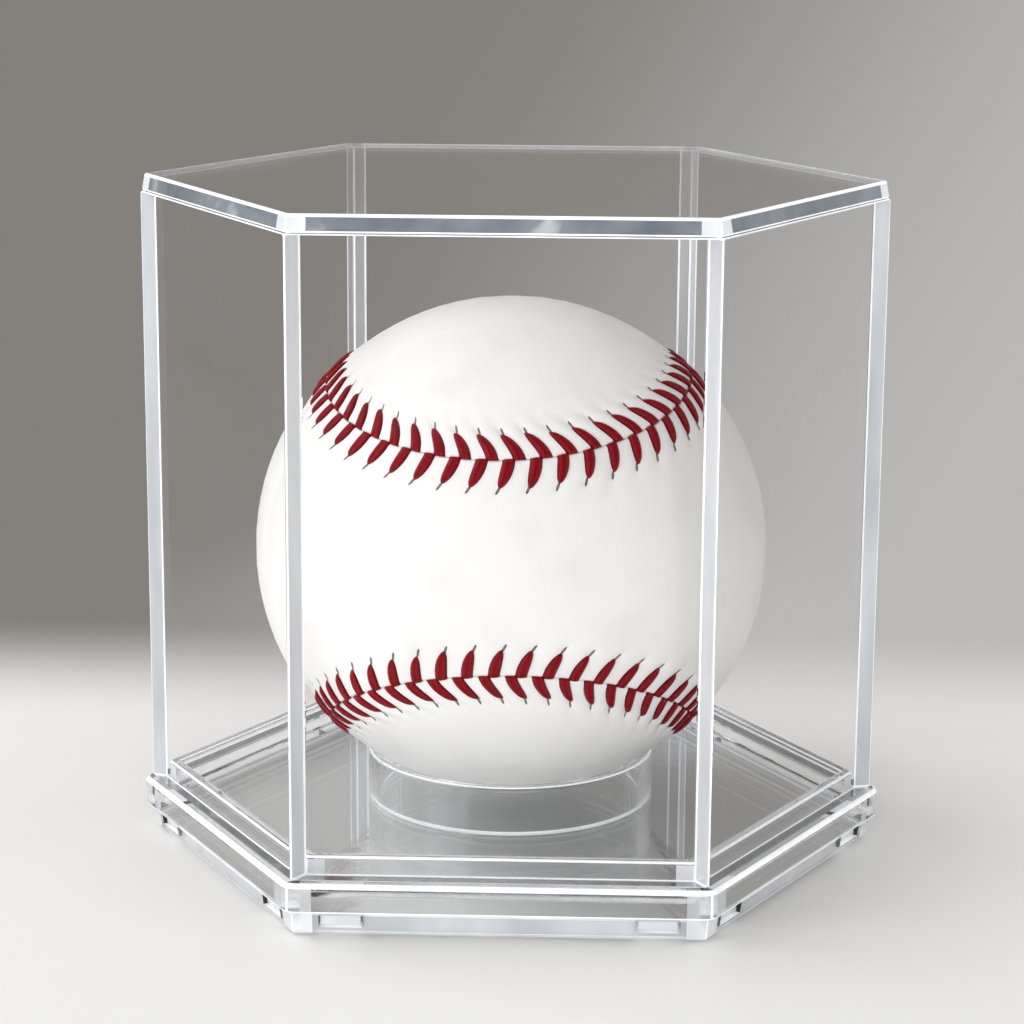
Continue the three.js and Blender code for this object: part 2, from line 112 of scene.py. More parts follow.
def add_node(
    tree: bpy.types.NodeTree,
    kind: str,
    inputs: dict[str | int, object] | Sequence[object] = (),
    out: str | int = 0,
    stops: Sequence[tuple[float, object]] = (),
    **settings: object,
) -> Socket | None:
    """Adds a node with its settings and links.

    Args:
        tree: The tree that it goes into.
        kind: Its type, where "ShaderNode" is left out, then a space and its operation.
        inputs: For each input's name or number, a value or the output that feeds it.
        out: The output that is wanted.
        stops: A ramp's or curve's stops.
        **settings: The node's own properties.

    Returns:
        The wanted output.
    """
    kind, _, operation = kind.partition(" ")
    node = tree.nodes.new(kind if "Node" in kind else f"ShaderNode{kind}")
    if operation:
        node.operation = operation
    for name, value in settings.items():
        setattr(node, name, value)
    if stops:
        lay_stops(node, stops)
    for name, value in inputs.items() if isinstance(inputs, dict) else enumerate(inputs):
        if isinstance(value, Socket):
            tree.links.new(value, node.inputs[name])
        else:
            node.inputs[name].default_value = value
    return node.outputs[out] if node.outputs else None


def new_mesh(name: str, shape: bmesh.types.BMesh) -> bpy.types.Mesh:
    """Turns a finished shape into a mesh, and frees it.

    Args:
        name: The mesh's name.
        shape: The shape.

    Returns:
        The mesh.
    """
    mesh = bpy.data.meshes.new(name)
    shape.to_mesh(mesh)
    shape.free()
    return mesh


def new_piece(name: str, made: bpy.types.ID) -> Piece:
    """Puts a mesh, curve, lamp or lens in the scene as an object at the origin.

    Args:
        name: The object's name.
        made: What it holds.

    Returns:
        The new object.
    """
    made.name = name
    piece = bpy.data.objects.new(name, made)
    bpy.context.scene.collection.objects.link(piece)
    return piece


def settle(piece: Piece) -> Piece:
    """Turns a piece with modifiers into a plain mesh piece of the same name.

    Args:
        piece: The piece with modifiers.

    Returns:
        The plain one.
    """
    bpy.context.view_layer.update()
    evaluated = piece.evaluated_get(bpy.context.evaluated_depsgraph_get())
    mesh = bpy.data.meshes.new_from_object(evaluated)
    name = piece.name
    bpy.data.objects.remove(piece)
    return new_piece(name, mesh)


def band(
    shape: bmesh.types.BMesh,
    upper: Sequence[bmesh.types.BMVert],
    lower: Sequence[bmesh.types.BMVert],
) -> list[bmesh.types.BMFace]:
    """Joins two closed rings of points with faces.

    Args:
        shape: The shape that they are in.
        upper: The ring on the left of the way round, seen from outside.
        lower: The other ring.

    Returns:
        One face for each point, from there to the next one.
    """
    faces = []
    for at in range(len(upper)):
        beside = (at + 1) % len(upper)
        faces.append(shape.faces.new((upper[at], lower[at], lower[beside], upper[beside])))
    return faces


# Finishes


class Slot(IntEnum):
    """The order of the finishes on every piece of clear acrylic."""

    FACE = 0
    EDGE = 1
    ARRIS = 2
    MITRE = 3
    SLIT = 4
    HAZE_AND_GLOW = 5


@dataclass(frozen=True)
class Finish:
    """One finish, named for its material and how its surface was made."""

    name: str

    def build(self) -> bpy.types.Material:
        """Makes the material.

        Returns:
            A node material with this finish's shader.
        """
        material = bpy.data.materials.new(self.name)
        material.use_nodes = True
        tree = material.node_tree
        tree.nodes.clear()
        surface = self.draw(partial(add_node, tree))
        add_node(tree, "OutputMaterial", {"Surface": surface})
        return material

    def draw(self, add: Add) -> Socket:
        """Draws the nodes and returns the shader. Each finish has its own."""
        raise NotImplementedError


@dataclass(frozen=True)
class ClearAcrylic(Finish):
    """Cast acrylic sheet and clear mouldings, flame polished.

    It takes next to no light away, bends what is behind it a little, and its faces have a
    slow waviness of some tens of millimetres that only shows in reflections.
    """

    name: str = "cast acrylic, polished"
    tint: str = "#FEFEFF"
    shade: str = "#FDFEFE"
    ior: float = 1.49
    roughness: float = 0.012
    wave_mm: float = 26.0
    wave_height_mm: float = 0.02

    def draw(self, add: Add) -> Socket:
        """Draws glass that lets lamps through with a faint shade.

        Args:
            add: Adds a node to the material.

        Returns:
            The shader.
        """
        place = add("TexCoord", out="Object")
        scale = 1 / (self.wave_mm * MM)
        wave = add("TexNoise", {"Vector": place, "Scale": scale, "Detail": 1.0})
        height = self.wave_height_mm * MM
        bump = add("Bump", {"Height": wave, "Strength": 1.0, "Distance": height})
        glass = {
            "Base Color": linear(self.tint),
            "Roughness": self.roughness,
            "IOR": self.ior,
            "Transmission Weight": 1.0,
            "Normal": bump,
        }
        lamp_way = add("BsdfTransparent", {"Color": linear(self.shade)})
        lamps = add("LightPath", out="Is Shadow Ray")
        return add("MixShader", (lamps, add("BsdfPrincipled", glass), lamp_way))


@dataclass(frozen=True)
class AcrylicEdge(Finish):
    """What the edges of clear acrylic share: painted light, a pale colour and a glow for the light
    that runs inside.
    """

    tones: Tones = ()
    noise_mm: float = 8.0
    # The noise's streaks are this many times as long as wide, up the post.
    stretch: float = 1.0
    distortion: float = 0.0
    ripple_mm: float = 0.0
    clearness: float = 0.3
    roughness: float = 0.25
    ior: float = 1.49
    # The edge's glow, though it is no lamp, is a painted glow.
    gleam: str = "#FFFFFF"
    glow: float = 0.0

    def draw(self, add: Add) -> Socket:
        """Draws an uneven edge painted pale with a glow, painted light, that lets some of what is
        behind it through.

        Args:
            add: Adds a node to the material.

        Returns:
            The shader.
        """
        place = add("TexCoord", out="Object")
        along = add("Mapping", {"Vector": place, "Scale": (1.0, 1.0, 1 / self.stretch)})
        noise = {"Vector": along, "Scale": 1 / (self.noise_mm * MM), "Detail": 2.0}
        streaks = add("TexNoise", {**noise, "Distortion": self.distortion})
        edge = {
            "Base Color": add("ValToRGB", {"Fac": streaks}, stops=self.tones),
            "Roughness": self.roughness,
            "IOR": self.ior,
            "Transmission Weight": self.clearness,
            "Emission Color": linear(self.gleam),
            "Emission Strength": self.glow,
        }
        if self.ripple_mm:
            ripple = {"Height": streaks, "Strength": 0.6, "Distance": self.ripple_mm * MM}
            edge["Normal"] = add("Bump", ripple)
        return add("BsdfPrincipled", edge)


@dataclass(frozen=True)
class SawnEdge(AcrylicEdge):
    """The sheet's cut edge, sawn and flame polished.

    It is painted paler and bluer than the faces, painted light for the light that runs along
    inside the sheet and comes out here, with slow streaks where the saw marks were melted over.
    """

    name: str = "acrylic edge, flame polished, painted light"
    tones: Tones = ((0.3, "#565D69"), (0.62, "#787F88"), (0.8, "#F1F4F8"))
    noise_mm: float = 9.0
    distortion: float = 0.6
    ripple_mm: float = 0.1
    clearness: float = 0.35
    roughness: float = 0.1


@dataclass(frozen=True)
class BondedMitre(AcrylicEdge):
    """Two mitred sheets run together with solvent cement.

    The cement's film scatters the light that runs along the sheets, so a corner reads as
    A corner is painted as a pale, slightly blue strip with a faint glow, a little uneven down its
    length: painted light for the light that the cement's film scatters from the sheets.
    """

    name: str = "acrylic mitre, solvent bonded, painted light"
    tones: Tones = ((0.3, "#C6CAD0"), (0.7, "#ECEEF1"))
    stretch: float = 4.0
    gleam: str = "#EDF0F4"
    glow: float = 0.1


@dataclass(frozen=True)
class BrightArris(AcrylicEdge):
    """A sheet's broken corner, melted round by the flame.

    It is painted as a thin white line with a glow, a painted highlight for the light that it
    gathers from a wide angle.
    """

    name: str = "acrylic arris, melted round, painted highlight"
    tones: Tones = ((0.3, "#E3E8EE"), (0.55, "#FDFEFF"))
    noise_mm: float = 6.0
    clearness: float = 0.15
    roughness: float = 0.2
    gleam: str = "#FDFEFF"
    glow: float = 0.25


@dataclass(frozen=True)
class DarkSlit(Finish):
    """The short end of a snap window, deep between two mouldings.

    It is painted a nearly black grey, painted shade where no light reaches, and reads as a bar
    beside the tongue.
    """

    name: str = "acrylic, shaded slit"
    dark: str = "#2B2B2D"
    roughness: float = 0.5

    def draw(self, add: Add) -> Socket:
        """Draws a dull, dark grey, painted shade, and returns the shader."""
        slit = {"Base Color": linear(self.dark), "Roughness": self.roughness}
        return add("BsdfPrincipled", slit)


@dataclass(frozen=True)
class WhiteLeather(Finish):
    """Alum-tanned cowhide, pulled tight when damp and dried on the ball.

    Bright white with a close pebble grain, a little sheen, and creases that the stitches
    draw in beside the seam. Each needle hole is painted: a pinkish middle, the thread's end,
    in a dark ring that is painted shade.
    """

    name: str = "cowhide, alum tanned"
    seam: "Seam | None" = None
    white: str = "#F6F5F2"
    shade: str = "#EFEDE9"
    # A needle hole's tones from its middle out: the thread's end, then a dark ring of painted
    # shade.
    hole: Tones = ((0.1, "#9A817B"), (0.45, "#3A2825"), (0.9, "#1F1917"))
    hole_wide_mm: float = 0.4
    hole_long_mm: float = 1.24
    hole_out_mm: float = 0.3
    hole_lean: float = 0.12
    # How soft its rim is, from the dark to the white, in shares of its size squared
    hole_edge: tuple[float, float] = (0.6, 1.3)
    grain_mm: float = 0.7
    grain_height_mm: float = 0.06
    mottle_mm: float = 9.0
    roughness: float = 0.42

    def draw(self, add: Add) -> Socket:
        """Draws leather that reads the seam map and Object coordinates.

        Args:
            add: Adds a node to the material.

        Returns:
            The shader.
        """
        seam = self.seam
        place = add("TexCoord", out="Object")
        scale = 1 / (self.grain_mm * MM)
        grain = add("TexVoronoi", {"Vector": place, "Scale": scale}, feature="SMOOTH_F1")
        scale = 1 / (self.mottle_mm * MM)
        mottle = add("TexNoise", {"Vector": place, "Scale": scale, "Detail": 5.0})
        skin = add("ValToRGB", {"Fac": mottle}, stops=[(0.25, self.shade), (0.5, self.white)])
        seam_map = add("SeparateXYZ", (add("UVMap", uv_map=SEAM_MAP),), out="X")
        turns = add("Math MULTIPLY", (seam_map, float(seam.count)))
        out = add("Math MULTIPLY", (seam_map.node.outputs["Y"], seam.map_height / MM))
        # Along the seam in stitches from the nearest hole, leaning with the stitch
        lean = add("Math MULTIPLY", (add("Math SUBTRACT", (out, seam.hole_mm)), self.hole_lean))
        nearest = add("Math WRAP", (add("Math SUBTRACT", (turns, lean)), 0.5, -0.5))
        aside = add("Math DIVIDE", (nearest, self.hole_wide_mm / 2 / seam.pitch_mm))
        beyond = add("Math SUBTRACT", (out, seam.hole_mm + self.hole_out_mm))
        beyond = add("Math DIVIDE", (beyond, self.hole_long_mm / 2))
        beyond = add("Math MULTIPLY", (beyond, beyond))
        round_hole = add("Math MULTIPLY_ADD", (aside, aside, beyond))
        edge = (round_hole, *self.hole_edge, 1.0, 0.0)
        hole = add("MapRange", edge, **SMOOTH)
        # The dark ring round each needle hole is painted shade.
        dark = add("ValToRGB", {"Fac": round_hole}, stops=self.hole)
        height = self.grain_height_mm * MM
        leather = {
            "Base Color": add("Mix", {0: hole, 6: skin, 7: dark}, out=2, data_type="RGBA"),
            "Roughness": self.roughness,
            "IOR": 1.5,
            "Sheen Weight": 0.08,
            "Normal": add("Bump", {"Height": grain, "Strength": 0.35, "Distance": height}),
        }
        return add("BsdfPrincipled", leather)


@dataclass(frozen=True)
class WaxedThread(Finish):
    """Waxed red cotton thread, two strands side by side.

    Deep red, painted lighter along the crown of each strand and painted darker, nearly maroon,
    in the groove and at the sides: a painted highlight and painted shade. It has the soft shine
    of wax.
    """

    name: str = "cotton thread, waxed"
    # The crown tone is a painted highlight, the deep tone painted shade.
    red: str = "#7C0610"
    deep: str = "#38040A"
    crown: str = "#8E101C"
    twist_mm: float = 0.9
    twist_height_mm: float = 0.08
    # How much the twist stands out beside the strand, which is 1
    twist_share: float = 0.12
    # Where the crown and the side fade, out of the thread's half width
    crown_fade: tuple[float, float] = (0.5, 0.1)
    side_fade: tuple[float, float] = (1.0, 0.74)
    groove_light: float = 0.6
    roughness: float = 0.45

    def draw(self, add: Add) -> Socket:
        """Draws thread that reads each stitch's own lay.

        Args:
            add: Adds a node to the material.

        Returns:
            The shader.
        """
        lay = add("Attribute", out="Vector", attribute_name=THREAD_LAY)
        across = add("SeparateXYZ", (lay,), out="X")
        along = across.node.outputs["Y"]
        side = add("Math ABSOLUTE", (across,))
        # 0 in the groove and at the side, 1 on each strand's crown
        off_crown = add("Math ABSOLUTE", (add("Math SUBTRACT", (side, 0.5)),))
        strand = add("MapRange", (off_crown, *self.crown_fade), **SMOOTH)
        turn = add("Math MULTIPLY_ADD", (along, 2 * math.pi / self.twist_mm, across))
        height = add("Math MULTIPLY_ADD", (add("Math SINE", (turn,)), self.twist_share, strand))
        # The colour is painted light and shade: darker at the sides and in the groove, lighter on
        # each crown.
        edge = add("MapRange", (side, *self.side_fade), **SMOOTH)
        light = (height, 1 - self.groove_light, self.groove_light)
        painted_light_and_shade = add("Math MULTIPLY", (edge, add("Math MULTIPLY_ADD", light)))
        stops = [(0.1, self.deep), (0.7, self.red), (1.0, self.crown)]
        rise = self.twist_height_mm * MM
        thread = {
            "Base Color": add("ValToRGB", {"Fac": painted_light_and_shade}, stops=stops),
            "Roughness": self.roughness,
            "IOR": 1.48,
            "Specular IOR Level": 0.16,
            "Coat Weight": 0.05,
            "Coat Roughness": 0.25,
            "Normal": add("Bump", {"Height": height, "Strength": 0.6, "Distance": rise}),
        }
        return add("BsdfPrincipled", thread)


@dataclass(frozen=True)
class WoundWool(Finish):
    """Grey wool yarn, wound tight over cork and rubber.

    Coarse crossing windings, painted darker between them: painted shade in the grooves.
    """

    name: str = "wool yarn, wound"
    light: str = "#B9B1A3"
    dark: str = "#7E776B"
    yarn_mm: float = 1.2
    yarn_height_mm: float = 0.3
    # How each lay is turned, in radians, and how many waves a wave node's unit holds
    turns: tuple[float, ...] = (0.6, -0.7)
    wave_unit: float = 0.3
    roughness: float = 0.95

    def draw(self, add: Add) -> Socket:
        """Draws two crossing lays of yarn.

        Args:
            add: Adds a node to the material.

        Returns:
            The shader.
        """
        place = add("TexCoord", out="Object")
        lays = []
        scale = self.wave_unit / (self.yarn_mm * MM)
        for turn in self.turns:
            turned = add("Mapping", {"Vector": place, "Rotation": (turn, turn, 0.0)})
            wave = {"Vector": turned, "Scale": scale, "Distortion": 1.5}
            lays.append(add("TexWave", wave, out="Fac"))
        # Low places between the windings take the dark tone: painted shade.
        top = add("Math MAXIMUM", lays)
        height = self.yarn_height_mm * MM
        stops = [(0.2, self.dark), (0.9, self.light)]
        wool = {
            "Base Color": add("ValToRGB", {"Fac": top}, stops=stops),
            "Roughness": self.roughness,
            "Normal": add("Bump", {"Height": top, "Distance": height}),
        }
        return add("BsdfPrincipled", wool)


# The hexagon that the cover, tray and plates share


@dataclass(frozen=True)
class Row:
    """One line of a profile: how far out of the cover's faces, how high, which finish below.

    The finish dresses the band from this line to the next one. The corner's finish dresses
    the middle of each rounded corner of that band, and the near one the rest of the corner.
    """

    outset: float
    level: float
    slot: Slot = Slot.FACE
    corner: Slot | None = None
    near: Slot | None = None


def arc(
    centre: tuple[float, float],
    radius: float,
    turn: tuple[float, float],
    slot: Slot = Slot.FACE,
    steps: int = 5,
    only: Sequence[int] | None = None,
) -> list[Row]:
    """Rounds a profile's corner.

    Args:
        centre: The arc's centre, out of the cover's faces and up.
        radius: Its radius.
        turn: Where it starts and ends, in quarter turns from the outward direction.
        slot: Its finish.
        steps: How many faces it has.
        only: The faces that get the finish, where the others stay plain.

    Returns:
        Its rows.
    """
    rows = []
    for step in range(steps + 1):
        angle = (turn[0] + (turn[1] - turn[0]) * step / steps) * math.pi / 2
        out, level = centre[0] + radius * math.cos(angle), centre[1] + radius * math.sin(angle)
        rows.append(Row(out, level, slot if only is None or step in only else Slot.FACE))
    return rows


def way(angle: float) -> Vector:
    """Gives the direction at an angle in the plan."""
    return Vector((math.cos(angle), math.sin(angle)))


@dataclass(frozen=True)
class Hexagon:
    """An equiangular hexagon whose front and back faces are longer than the others."""

    front: float = 57.5 * MM
    half_depth: float = 45 * MM
    corner_steps: int = 12
    corner_strip: float = 2.2 * MM

    def corner(self, index: int) -> Vector:
        """Gives a corner's place.

        Args:
            index: Which corner, anticlockwise from 0 at the right.

        Returns:
            Its place in the plan.
        """
        towards = way(index * math.pi / 3)
        if index % 3 == 0:
            oblique = self.half_depth / math.cos(math.pi / 6)
            return Vector((towards.x * (self.front + oblique) / 2, 0.0))
        across = math.copysign(self.front / 2, towards.x)
        return Vector((across, math.copysign(self.half_depth, towards.y)))

    def ring(self, outset: float, radius: float) -> list[Vector]:
        """Moves the hexagon out and rounds its corners.

        Args:
            outset: How far out its faces move.
            radius: The corners' radius there.

        Returns:
            The rounded outline, anticlockwise, with a strip beside each corner.
        """
        outline = []
        for index in range(6):
            towards = index * math.pi / 3
            shift = (outset - radius) / math.cos(math.pi / 6)
            centre = self.corner(index) + shift * way(towards)
            shares = [step / self.corner_steps - 0.5 for step in range(self.corner_steps + 1)]
            turned = [centre + radius * way(towards + math.pi / 3 * share) for share in shares]
            back = way(towards - math.pi * 2 / 3) * self.corner_strip
            ahead = way(towards + math.pi * 2 / 3) * self.corner_strip
            outline += [turned[0] + back, *turned, turned[-1] + ahead]
        return outline

    def turning(self, name: str, rows: list[Row], corner: float, least: float) -> bpy.types.Mesh:
        """Carries a profile round the hexagon, as a lathe does round an axis.

        Args:
            name: The mesh's name.
            rows: The profile, down the outside from the top's middle to the underside's.
            corner: The corners' radius on the widest row.
            least: The least radius of any corner.

        Returns:
            A closed mesh.
        """
        widest = max(row.outset for row in rows)
        shape = bmesh.new()
        rings = []
        for row in rows:
            ring = self.ring(row.outset, max(corner - (widest - row.outset), least))
            rings.append([shape.verts.new((*place, row.level)) for place in ring])
        for row, upper, lower in zip(rows, rings, rings[1:]):
            for column, face in enumerate(band(shape, upper, lower)):
                face.material_index = self._finish(row, column % (self.corner_steps + 3))
        shape.faces.new(rings[0])
        shape.faces.new(reversed(rings[-1]))
        return new_mesh(name, shape)

    def _finish(self, row: Row, column: int) -> Slot:
        """Picks a face's finish.

        Args:
            row: The line above it.
            column: Its column, counted from the strip before its corner.

        Returns:
            The finish.
        """
        away = abs(column - (self.corner_steps + 1) / 2)
        if away < 1 and row.corner is not None:
            return row.corner
        if column < self.corner_steps + 2 and row.near is not None:
            return row.near
        return row.slot

    def side(self, index: int) -> tuple[Matrix, float]:
        """Gives a side's own frame, +X along it and +Y inwards, and its length.

        Args:
            index: The side from corner index to the next one.

        Returns:
            The frame's matrix and the side's length.
        """
        start, end = self.corner(index), self.corner((index + 1) % 6)
        turn = Matrix.Rotation((index + 2) * math.pi / 3, 4, "Z")
        middle = Matrix.Translation(((start + end) / 2).to_3d())
        return middle @ turn, (end - start).length


def take_place(piece: Piece, node: str, body: str) -> Piece:
    """Puts a finished piece in the place of its CAD node.

    Args:
        piece: The finished piece.
        node: The node that it stands for.
        body: The body that it rides on.

    Returns:
        The piece.
    """
    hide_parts(node)
    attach(piece, body)
    return piece


@dataclass
class Sheets:
    """The six finishes of clear acrylic, in slot order, and the face of a wall sheet.

    Acrylic's index is 1.49. The photograph's walls hardly shift the ball behind them or
    mirror it, so a wall's own index is matched to that.
    """

    wall_ior: float = 1.12

    def __post_init__(self) -> None:
        """Builds the finishes once."""
        # The hazed margin is partly real haze, its roughness, and partly painted light: its pale
        # colour and faint glow.
        haze_and_glow = BondedMitre("acrylic, hazed margin, painted glow", clearness=0.62, roughness=0.12, glow=0.03)
        finishes = (ClearAcrylic(), SawnEdge(), BrightArris(), BondedMitre(), DarkSlit(), haze_and_glow)
        self.finishes = [finish.build() for finish in finishes]
        self.wall_face = ClearAcrylic("cast acrylic, wall sheet", ior=self.wall_ior).build()

    def dress(self, name: str, mesh: bpy.types.Mesh) -> Piece:
        """Makes a piece of clear acrylic, whose faces keep their choice of finish.

        Args:
            name: The piece's name.
            mesh: Its mesh, without any finish.

        Returns:
            The piece with the six finishes.
        """
        for finish in self.finishes:
            mesh.materials.append(finish)
        return new_piece(name, mesh)


@dataclass
class Cover:
    """The lift-off cover: six mitred walls and the lid plate bonded on them."""

    hexagon: Hexagon
    sheets: Sheets
    wall: float = 3 * MM
    wall_low: float = 7.95 * MM
    wall_high: float = 97.45 * MM
    bond: float = 0.1 * MM
    arris: float = 0.28 * MM
    lid_low: float = 97.55 * MM
    lid_high: float = 100.05 * MM
    lid_setback: float = 0.2 * MM
    lid_draft: float = 0.35 * MM
    lid_edge: float = 0.4 * MM
    lid_corner: float = 1 * MM
    lid_least_corner: float = 0.5 * MM
    # Behind this line the lid's edge is painted bright, a painted highlight, where it faces away
    # from the window.
    lit_from: float = 8 * MM
    margin: float = 1.6 * MM
    margin_line: float = 0.3 * MM
    small_face: float = 2 * MM
    # The walls from the back right one, anticlockwise, each with its hazed ends, where a margin
    # is painted pale with a faint glow
    walls: tuple[tuple[str, tuple[int, ...]], ...] = (
        ("wall_back_right", (1,)),
        ("wall_back", (-1, 1)),
        ("wall_back_left", (-1,)),
        ("wall_front_left", ()),
        ("wall_front", ()),
        ("wall_front_right", ()),
    )

    def build(self) -> list[Piece]:
        """Builds the seven plates.

        Returns:
            The pieces, riding on the cover.
        """
        made = [take_place(self._lid(), "top_plate", "cover")]
        for side, (name, hazed) in enumerate(self.walls):
            panel = self.sheets.dress(f"cover_{name}", self._wall(side, hazed))
            panel.data.materials[Slot.FACE] = self.sheets.wall_face
            made.append(take_place(panel, name, "cover"))
        return made

    def _lid(self) -> Piece:
        """Builds the lid plate, with its drafted edge.

        Returns:
            The plate.
        """
        edge, arris = self.lid_edge, self.arris
        upper = -self.lid_setback - self.lid_draft
        # The lid's roundings take the white arris finish and its edge's corners the pale mitre
        # one: painted highlights and painted light.
        rows = arc((upper - edge, self.lid_high - edge), edge, (1, 0), Slot.ARRIS)
        rows[-1] = replace(rows[-1], slot=Slot.EDGE, corner=Slot.ARRIS, near=Slot.MITRE)
        low = (-self.lid_setback - arris, self.lid_low + arris)
        rows += arc(low, arris, (0, -1), Slot.ARRIS, steps=3)
        mesh = self.hexagon.turning("lid", rows, self.lid_corner, self.lid_least_corner)
        # Behind lit_from the edge takes the white arris finish: a painted highlight.
        for face in mesh.polygons:
            if face.material_index == Slot.EDGE and face.center.y > self.lit_from:
                face.material_index = Slot.ARRIS
        return self.sheets.dress("cover_lid", mesh)

    def _wall(self, side: int, hazed: tuple[int, ...]) -> bpy.types.Mesh:
        """Builds one wall panel in its side's frame and puts it in place.

        Args:
            side: Which side of the hexagon.
            hazed: Its ends with a hazed margin inside, -1 or 1. The margin is painted pale with a
                faint glow, painted light, behind a white line, a painted highlight.

        Returns:
            The panel's mesh.
        """
        matrix, length = self.hexagon.side(side)
        half = length / 2 - self.bond / 2 / math.cos(math.pi / 6)
        mitre = self.wall * math.tan(math.pi / 6)
        plan = [(-half, 0.0), (half, 0.0), (half - mitre, self.wall), (mitre - half, self.wall)]
        shape = bmesh.new()
        low = [shape.verts.new((x, y, self.wall_low)) for x, y in plan]
        high = [shape.verts.new((x, y, self.wall_high)) for x, y in plan]
        shape.faces.new(reversed(low))
        shape.faces.new(high)
        band(shape, high, low)
        round_off = {"offset": self.arris, "segments": 3, "profile": 0.5, "affect": "EDGES"}
        bmesh.ops.bevel(shape, geom=shape.edges[:], **round_off)
        inside = half - mitre - self.margin
        for end in hazed:
            for reach in (inside, inside - self.margin_line):
                every = shape.verts[:] + shape.edges[:] + shape.faces[:]
                cut = {"plane_co": (end * reach, 0, 0), "plane_no": (1, 0, 0)}
                bmesh.ops.bisect_plane(shape, geom=every, **cut)
        shape.normal_update()
        for face in shape.faces:
            middle = face.calc_center_median().x
            reach = max([end * middle for end in hazed], default=0.0) * (face.normal.y > FACING)
            # By a hazed end, a pale, faintly glowing margin and a white line: painted light and a
            # painted highlight.
            if reach > inside - self.margin_line:
                face.material_index = Slot.HAZE_AND_GLOW if reach > inside else Slot.ARRIS
            else:
                face.material_index = self._plain_finish(face)
        mesh = new_mesh("wall", shape)
        mesh.transform(matrix)
        return mesh

    def _plain_finish(self, face: bmesh.types.BMFace) -> Slot:
        """Tells a sheet's face, a sawn or mitred end and a strip of an arris apart.

        Args:
            face: A face of the panel, in its side's frame.

        Returns:
            Its finish.
        """
        # The arris strips are painted white lines and the mitred ends painted pale: painted
        # highlights and painted light.
        if face.calc_area() < self.small_face**2:
            return Slot.ARRIS
        if abs(face.normal.y) > FACING:
            return Slot.FACE
        if min(face.calc_area() / edge.calc_length() for edge in face.edges) < 2 * self.arris:
            return Slot.ARRIS
        return Slot.EDGE if abs(face.normal.z) > FACING else Slot.MITRE


